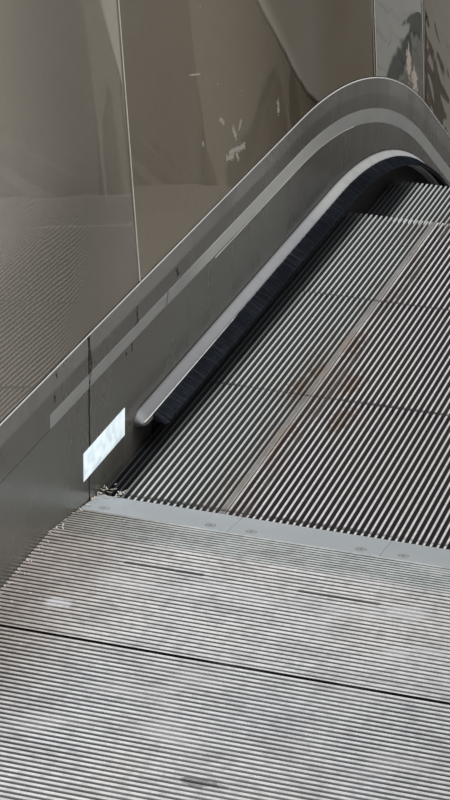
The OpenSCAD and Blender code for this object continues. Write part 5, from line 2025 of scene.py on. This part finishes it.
    @staticmethod
    def newel_stations(x: float, z: float, start: float, stop: float, parts: int = 48) -> Array:
        """Stations that turn about a newel's centre, without the first and the last."""
        a = np.linspace(start, stop, parts + 1)[1:-1]
        return np.stack([np.full_like(a, x), np.full_like(a, z), a], -1)

    @staticmethod
    def carry(section: Array, stations: Array) -> Array:
        """Section (y, height) carried along stations: x + r sin t, y, z + r cos t, with r its height over the newel.

        Args:
            section: points of the section.
            stations: place, level and tilt.
        Returns:
            Rings (station, point, xyz).
        """
        r = section[None, :, 1] - PLAN.newel_h
        x, z, t = (stations[:, i, None] for i in range(3))
        y = np.broadcast_to(section[None, :, 0], (len(stations), len(section)))
        return np.stack([x + r * np.sin(t), y, z + r * np.cos(t)], -1)

    def cap(self) -> None:
        """Makes the cap between the panels, with the handrail's guide on it."""
        stem, head, wall = 0.014, self.rail_half - 0.014, PLAN.wall + PLAN.sheet_t
        head_low = self.guide_top - 0.008
        section = np.array([
            [self.cap_in, self.cap_low], [wall, self.cap_low], [wall, self.cap_top - 0.002],
            [self.rail_y + stem, self.cap_top], [self.rail_y + stem, head_low], [self.rail_y + head, head_low + 0.002],
            [self.rail_y + head, self.guide_top], [self.rail_y - head, self.guide_top],
            [self.rail_y - head, head_low + 0.002], [self.rail_y - stem, head_low], [self.rail_y - stem, self.cap_top],
            [self.cap_in, self.cap_top - 0.002],
        ])
        half_turn = math.pi
        end_x = PLAN.base_end + PLAN.end_plate + 0.0005
        low_x, low_z = PLAN.comb_x + PLAN.newel_x, PLAN.newel_h - PLAN.side.rise
        stations = np.concatenate([
            [[-end_x, PLAN.newel_h, -half_turn], [-PLAN.newel_x, PLAN.newel_h, -half_turn]],
            self.newel_stations(-PLAN.newel_x, PLAN.newel_h, -half_turn, 0),
            self.top_stations(),
            self.newel_stations(low_x, low_z, 0, half_turn),
            [[low_x, low_z, half_turn], [PLAN.comb_x + end_x, low_z, half_turn]],
        ])
        shell = Shell(f"{self.side.word}_brushed_cap")
        shell.tube(self.turn(self.carry(rounded(section, 0.002, 3), stations)))
        shell.build([self.finishes.deck], "cap", [f"{self.side.word}_cap"])

    def handrail(self) -> None:
        """Makes the closed handrail loop."""
        y, half, top, low = self.rail_y, self.rail_half, self.rail_top, self.rail_low
        lip, cavity_top, cavity_low = 0.010, top - 0.013, low + 0.004
        slot = half - lip - 0.010
        section = np.array([
            [y - half + 0.006, low], [y - slot, low], [y - slot, cavity_low], [y - half + lip, cavity_low],
            [y - half + lip, cavity_top], [y + half - lip, cavity_top], [y + half - lip, cavity_low],
            [y + slot, cavity_low], [y + slot, low], [y + half - 0.006, low], [y + half, low + 0.007],
            [y + half - 0.002, top - 0.009], [y + half - 0.012, top - 0.0015], [y, top],
            [y - half + 0.012, top - 0.0015], [y - half + 0.002, top - 0.009], [y - half, low + 0.007],
        ])
        low_x, low_z = PLAN.comb_x + PLAN.newel_x, PLAN.newel_h - PLAN.side.rise
        back = self.top_stations()[::-1] + np.array([0.0, 0.0, math.pi])
        stations = np.concatenate([
            self.top_stations(),
            self.newel_stations(low_x, low_z, 0, math.pi),
            back,
            self.newel_stations(-PLAN.newel_x, PLAN.newel_h, math.pi, 2 * math.pi),
        ])
        shell = Shell(f"{self.side.word}_rubber_handrail")
        shell.tube(self.turn(self.carry(rounded(section, 0.006, 3), stations)), loop=True)
        shell.build([self.finishes.handrail], "handrail", [f"{self.side.word}_handrail"])

    def build(self) -> None:
        """Makes this side's pieces."""
        self.skirt()
        self.band()
        self.inner_panels()
        self.outer_panels()
        self.cap()
        self.handrail()


@dataclass
class SkirtBrush:
    """Brush along one skirt: a rounded holder and single bristles.

    Args:
        finishes: the machine's finishes.
        side: which side.
        start: distance of the holder's tip from the comb line.
        reach: how far the holder stands before the skirt.
        tip_reach: how far the bristles reach.
        tip_len: length of the holder's round tip.
        lip: half the height of its bright lip.
        lip_len: length of the lip from the tip.
        root_back: distance of the first bristle from the holder's tip.
        bristle_gap: distance between bristles.
        rows: number of rows of bristles.
    """

    finishes: Finishes
    side: Side
    start: float = 0.142
    reach: float = 0.016
    tip_reach: float = 0.038
    tip_len: float = 0.026
    lip: float = 0.0010
    lip_len: float = 0.42
    root_back: float = 0.036
    bristle_gap: float = 0.0015
    rows: int = 2

    def holder(self) -> None:
        """Makes the holder: its section carried along the step band, and drawn in to a round tip by
        sqrt(1 - (1 - d / tip)^2) over the last stretch at each end, where d is the distance from the end. A thin
        lip of six-sided section, painted near-white as a highlight, follows its front edge at both ends and gets
        thinner away from the tip. Two thin dark sheets on the skirt paint shade: a line over the holder and a patch
        under the brush."""
        corners = np.array([[-0.0004, 0.058], [-0.0004, 0.031], [self.reach, 0.036], [self.reach, 0.047]])
        section = rounded(corners, 0.004, 4)
        x0, x1 = self.start, PLAN.comb_x - self.start
        tip = self.tip_len * (1 - np.cos(np.linspace(0, math.pi / 2, 10))) + 0.0004
        xs = PLAN.steps.places(x0 + self.tip_len, x1 - self.tip_len, 0.0, 0.06, 32)
        xs = np.concatenate([x0 + tip[:-1], xs, [x0 + self.lip_len, x1 - self.lip_len], x1 - tip[:-1][::-1]])
        xs = np.sort(xs)
        edge = np.minimum(np.minimum(xs - x0, x1 - xs) / self.tip_len, 1.0)
        grow = np.sqrt(1 - (1 - edge) ** 2)[:, None]
        middle = 0.0435
        high = middle + (section[None, :, 1] - middle) * grow
        out = section[None, :, 0] * np.where(section[None, :, 0] > 0, 0.72 + 0.28 * grow, 1.0)
        x = np.broadcast_to(xs[:, None], high.shape)
        rings = np.stack([x, PLAN.skirt - out, PLAN.steps.height(x, high)], -1)
        shell = Shell(f"{self.side.word}_brush_rail")
        turn = self.side.turn
        shell.tube(rings * turn, np.stack([x, high], -1))
        a = np.linspace(0, 2 * math.pi, 6, endpoint=False)
        inward = np.minimum(xs - x0, x1 - xs)
        thin = self.lip * (1 - 0.6 * np.minimum(inward / self.lip_len, 1.0))[:, None]
        lip_h = middle + (0.0462 - middle) * grow + thin * np.sin(a)
        lip_out = (self.reach - 0.0003) * (0.72 + 0.28 * grow) + thin * np.cos(a)
        x = np.broadcast_to(xs[:, None], lip_h.shape)
        lip = np.stack([x, PLAN.skirt - lip_out, PLAN.steps.height(x, lip_h)], -1) * turn
        # The lip takes the near-white edge finish: a painted highlight.
        shell.tube(lip[xs < x0 + self.lip_len + MM][3:], finish=1)
        shell.tube(lip[xs > x1 - self.lip_len - MM][:-3], finish=1)
        # Dark line over the holder: painted contact shadow.
        self.sheet(shell, x0 + self.tip_len, x1 - self.tip_len, (0.0572, 0.0588), 0.0006, 3)
        # Near-black sheet under the brush: painted shade.
        self.sheet(shell, x0 + 0.075, x1 - 0.075, (-0.060, 0.034), 0.0004, 2)
        dress = [self.finishes.holder, self.finishes.edge, self.finishes.painted_shade, self.finishes.contact_shadow_line]
        shell.build(dress, "holder", [f"{self.side.word}_brush_holder"])

    def sheet(self, shell: Shell, x0: float, x1: float, h: tuple[float, float], proud: float, finish: int) -> None:
        """Adds a thin dark sheet along the steps that paints shade: a flat four-cornered section carried from x0 to x1.

        Args:
            shell: the piece it joins.
            x0: first place.
            x1: last place.
            h: lowest and highest height over the run.
            proud: how far it stands before the skirt.
            finish: index of the finish.
        """
        section = np.array([[-0.0004, h[0]], [proud, h[0]], [proud, h[1]], [-0.0004, h[1]]])
        rings, run = carried(PLAN.steps, PLAN.steps.places(x0, x1, h[0], h[1], 32), section)
        shell.tube(rings * self.side.turn, run, finish=finish)

    def bristles(self) -> None:
        """Makes the bristles: thin three-sided prisms from the holder's face to their tips, whose spread, droop and
        length are seeded random numbers, on a narrow darker root that stands for the dense bristles and paints the
        shade among them. Some are paler, most of them at the frayed ends."""
        shell = Shell(f"{self.side.word}_bristles")
        turn = self.side.turn
        x0, x1 = self.start + self.root_back, PLAN.comb_x - self.start - self.root_back
        xs = PLAN.steps.places(x0, x1, 0.0, 0.06, 32)
        inner, outer = self.reach - 0.002, self.tip_reach - 0.004
        root = np.array([
            [inner, 0.0460], [inner, 0.0375], [outer, 0.0310], [outer, 0.0325], [self.reach + 0.006, 0.0420],
        ])
        # Darker root: the dense bristles with painted shade among them.
        shell.tube(carried(PLAN.steps, xs, root)[0] * turn, finish=1)
        rng = np.random.default_rng(11)
        dense = np.arange(x0, x1, self.bristle_gap)
        base_x = np.tile(dense, self.rows) + rng.uniform(-0.0008, 0.0008, self.rows * len(dense))
        row = np.repeat(np.arange(self.rows), len(dense))
        base_h = 0.0462 - 0.0009 * row + rng.normal(0, 0.0004, len(base_x))
        tuft = np.sin(base_x * 2 * math.pi / 0.043 + 2.1 * np.sin(base_x * 31.0) + row)
        tip_x = base_x + 0.0022 * tuft + rng.normal(0, 0.0014, len(base_x))
        tip_h = 0.0346 - 0.0014 * row + rng.normal(0, 0.0009, len(base_x))
        tip_out = self.tip_reach - np.abs(rng.normal(0, 0.0018, len(base_x)))
        base_out = np.full(len(base_x), self.reach - 0.001)
        frayed = np.minimum(base_x - x0, x1 - base_x) < 0.012
        paler = rng.random(len(base_x)) < np.where(frayed, 0.45, 0.10)
        tip_x = np.where(paler, tip_x + rng.normal(0, 0.0035, len(base_x)), tip_x)
        a = np.array([0.0, 2.094, 4.189])
        thick = np.array([0.00060, 0.00056, 0.00034])
        t = np.array([0.0, 0.55, 1.0])
        line_x = base_x[:, None] + (tip_x - base_x)[:, None] * t
        line_y = base_out[:, None] + (tip_out - base_out)[:, None] * t
        line_h = base_h[:, None] + (tip_h - base_h)[:, None] * t**1.3
        x = line_x[..., None] + thick[:, None] * np.cos(a)
        h = line_h[..., None] + thick[:, None] * np.sin(a)
        y = np.broadcast_to(PLAN.skirt - line_y[..., None], x.shape)
        points = np.stack([x, y, PLAN.steps.height(x, h)], -1) * turn
        pairs = [(3 * ring, j, (j + 1) % 3) for ring in (0, 1) for j in range(3)]
        quads = [[first + j, first + k, first + 3 + k, first + 3 + j] for first, j, k in pairs]
        flat = points.reshape(-1, 3)
        for chosen, finish in ((~paler, 0), (paler, 2)):
            start = (np.flatnonzero(chosen) * 9)[:, None, None]
            sides = (start + np.array(quads)[None]).reshape(-1, 4)
            caps = (start + np.array([[2, 1, 0], [6, 7, 8]])[None]).reshape(-1, 3)
            flip = slice(None, None, -1 if enclosed(flat, (sides, caps)) < 0 else 1)
            shell.faces += [(sides[:, flip] + shell.count, finish), (caps[:, flip] + shell.count, finish)]
        shell.points.append(flat)
        shell.maps.append(flat[:, [0, 2]])
        shell.count += len(flat)
        dress = [self.finishes.bristle, self.finishes.socket, self.finishes.strand]
        shell.build(dress, "bristle", ["brushes"] if self.side is Side.LEFT else [])

    def build(self) -> None:
        """Makes the brush."""
        self.holder()
        self.bristles()


@dataclass
class CombLights:
    """Lenses of the four comb lights, each gently crowned in its place on the skirt.

    Args:
        finishes: the machine's finishes.
        x0: first place along the run.
        x1: last place.
        z0: lowest level over the treads.
        z1: highest level.
    """

    finishes: Finishes
    x0: float = -0.052
    x1: float = 0.105
    z0: float = 0.042
    z1: float = 0.082

    def build(self) -> None:
        """Makes the lenses: reach = edge + crown (1 - u^2)(1 - v^2) over a grid of u and v from -1 to 1."""
        shell = Shell("comb_light_lenses")
        u = np.linspace(-1, 1, 17)
        v = np.linspace(-1, 1, 9)
        x = (self.x0 + self.x1) / 2 + u * (self.x1 - self.x0) / 2
        z = (self.z0 + self.z1) / 2 + v * (self.z1 - self.z0) / 2
        crown = 0.0006 + 0.0009 * (1 - u[:, None] ** 6) * (1 - v[None, :] ** 6)
        ring_z = np.concatenate([z, z[::-1]])
        reach = np.concatenate([crown, np.full((len(u), len(v)), -0.0005)], axis=1)
        xs = np.broadcast_to(x[:, None], reach.shape)
        zs = np.broadcast_to(ring_z, reach.shape)
        rings = np.stack([xs, PLAN.skirt - reach, zs], -1)
        lower = np.array([PLAN.comb_x, 0.0, -PLAN.steps.rise])
        for side in Side:
            turned = rings * side.turn
            shell.tube(turned)
            shell.tube(turned * OUTWARDS + lower)
        shell.build([self.finishes.lens], "light", ["comb_lights"])


@dataclass
class Litter:
    """Dry bits: a heap caught where the comb meets the skirt, and a thin line of them along the floor's edge.

    Args:
        finishes: the machine's finishes.
        heap: number of bits in the heap.
        stray: number of bits fallen beside it.
        line: number of bits along the floor's edge.
    """

    finishes: Finishes
    heap: int = 20
    stray: int = 9
    line: int = 50

    def build(self) -> None:
        """Makes the bits: flat slivers whose place, length, width, turn and lift are seeded random numbers."""
        rng = np.random.default_rng(5)
        shell = Shell("dry_bits")
        for number in range(self.heap + self.stray + self.line):
            heaped, strayed = number < self.heap, self.heap <= number < self.heap + self.stray
            x, y = rng.uniform(-0.46, -0.05), PLAN.skirt - 0.002 - abs(rng.normal(0, 0.004))
            length, width = rng.uniform(0.0008, 0.0022), rng.uniform(0.0005, 0.0012)
            if heaped:
                x, y = rng.normal(-0.002, 0.016), PLAN.skirt - 0.002 - abs(rng.normal(0, 0.014))
            if strayed:
                x, y = rng.normal(0.008, 0.006), rng.normal(0.470, 0.006)
            if heaped or strayed:
                length, width = rng.uniform(0.0020, 0.0058), rng.uniform(0.0003, 0.0008)
            a = rng.uniform(0, math.pi)
            u, v = length * np.array([-1.0, -0.8, 1.0, 0.7]), width * np.array([-0.8, 1.0, 0.6, -1.0])
            floor = np.interp(-x, [0.0, 0.070, 0.170], [0.001, 0.012, PLAN.floor])
            lift = rng.uniform(0, 0.0035 if heaped or strayed else 0.0006) + u / length * rng.uniform(0, 0.0012)
            cosine, sine = math.cos(a), math.sin(a)
            low = np.stack([x + u * cosine - v * sine, y + u * sine + v * cosine, floor + lift + 0.0006], -1)
            low[:, 1] = np.minimum(low[:, 1], PLAN.skirt - 0.0005)
            shell.tube(np.stack([low, low + np.array([0, 0, 0.0006])]))
        shell.build([self.finishes.debris], "floor")


@dataclass
class Structure:
    """CAD nodes that keep their own shape, with the finish of each.

    Args:
        finishes: the machine's finishes.
        dress: name of the finish for each node.
    """

    finishes: Finishes
    dress: dict[str, str] = field(
        default_factory=lambda: {
            "truss": "truss",
            "tracks": "track",
            "upper_support": "truss",
            "lower_support": "truss",
            "soffit": "outer",
            "left_casing": "outer",
            "right_casing": "outer",
            "balustrade_posts": "truss",
            "handrail_inlets": "inlet",
        }
    )

    def build(self) -> None:
        """Gives the kept nodes their finishes."""
        for name, finish in self.dress.items():
            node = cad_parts[name]
            node.data.materials.clear()
            node.data.materials.append(getattr(self.finishes, finish))
            log.info("%s: %s", name, finish)


@dataclass
class Studio:
    """Pale floor, soft light and the camera at the photograph's angle.

    Args:
        eye: place of the camera.
        right: direction to its right.
        up: direction upwards in the picture.
        lens: focal length in millimetres.
        floor_half: half the width of the floor.
        sky: strength of the sky.
        sun: strength of the sun.
    """

    eye: tuple[float, float, float] = (-11.62005, -0.53764, 3.74813)
    right: tuple[float, float, float] = (0.30288301, -0.95285078, 0.01836473)
    up: tuple[float, float, float] = (0.37772, 0.137708, 0.915621)
    lens: float = 112.67
    floor_half: float = 60.0
    sky: float = 0.46
    sun: float = 2.10

    def floor(self) -> None:
        """Makes the floor: one wide sheet under the machine, shaded plainly."""
        low = cad_box[0][2] - 0.002
        half = self.floor_half
        mesh = bpy.data.meshes.new("studio_floor")
        corners = [(-half, -half, low), (half, -half, low), (half, half, low), (-half, half, low)]
        mesh.from_pydata(corners, [], [(0, 1, 2, 3)])
        s = Surface("studio_floor", Metallic=0.0, Roughness=0.9)
        s.set(Base_Color=(0.58, 0.58, 0.575))
        mesh.materials.append(s.material)
        plane = bpy.data.objects.new("studio_floor", mesh)
        bpy.context.scene.collection.objects.link(plane)

    def world(self) -> None:
        """Sets a plain even sky."""
        world = bpy.data.worlds.new("studio_sky")
        bpy.context.scene.world = world
        world.use_nodes = True
        back = world.node_tree.nodes["Background"]
        back.inputs["Color"].default_value = (1.0, 1.0, 1.0, 1.0)
        back.inputs["Strength"].default_value = self.sky

    def lamps(self) -> None:
        """Adds one wide soft sun from over the camera's left shoulder."""
        light = bpy.data.lights.new("soft_sun", "SUN")
        light.energy = self.sun
        light.angle = math.radians(50)
        lamp = bpy.data.objects.new("soft_sun", light)
        lamp.rotation_mode = "QUATERNION"
        lamp.rotation_quaternion = Vector((-0.35, 0.45, -1.0)).to_track_quat("-Z", "Y")
        bpy.context.scene.collection.objects.link(lamp)

    def camera(self) -> None:
        """Puts the camera where the photograph was taken."""
        data = bpy.data.cameras.new("camera")
        data.lens = self.lens
        data.sensor_width = 36.0
        data.sensor_fit = "AUTO"
        data.clip_start, data.clip_end = 0.05, 200.0
        camera = bpy.data.objects.new("camera", data)
        right, up = Vector(self.right).normalized(), Vector(self.up).normalized()
        back = right.cross(up)
        turn = Matrix((right, up, back)).transposed().to_4x4()
        camera.matrix_world = Matrix.Translation(Vector(self.eye)) @ turn
        bpy.context.scene.collection.objects.link(camera)
        bpy.context.scene.camera = camera

    def build(self) -> None:
        """Sets up the whole studio."""
        self.floor()
        self.world()
        self.lamps()
        self.camera()
        bpy.context.scene.view_settings.view_transform = "Standard"


def main() -> None:
    logging.basicConfig(level=logging.INFO, format="%(name)s: %(message)s")
    finishes = Finishes()
    Structure(finishes).build()
    StepBand(finishes).build()
    Landing(finishes, End.UPPER, 2.3).build()
    Landing(finishes, End.LOWER, 2.0).build()
    strips = Shell("satin_strips")
    for side in Side:
        balustrade = Balustrade(finishes, side)
        balustrade.build()
        balustrade.strip_forms(strips)
        SkirtBrush(finishes, side).build()
    strips.build([finishes.strip, finishes.lip_highlight], "strip", ["strips"])
    CombLights(finishes).build()
    Litter(finishes).build()
    Studio().build()


if __name__ == "__main__":
    main()
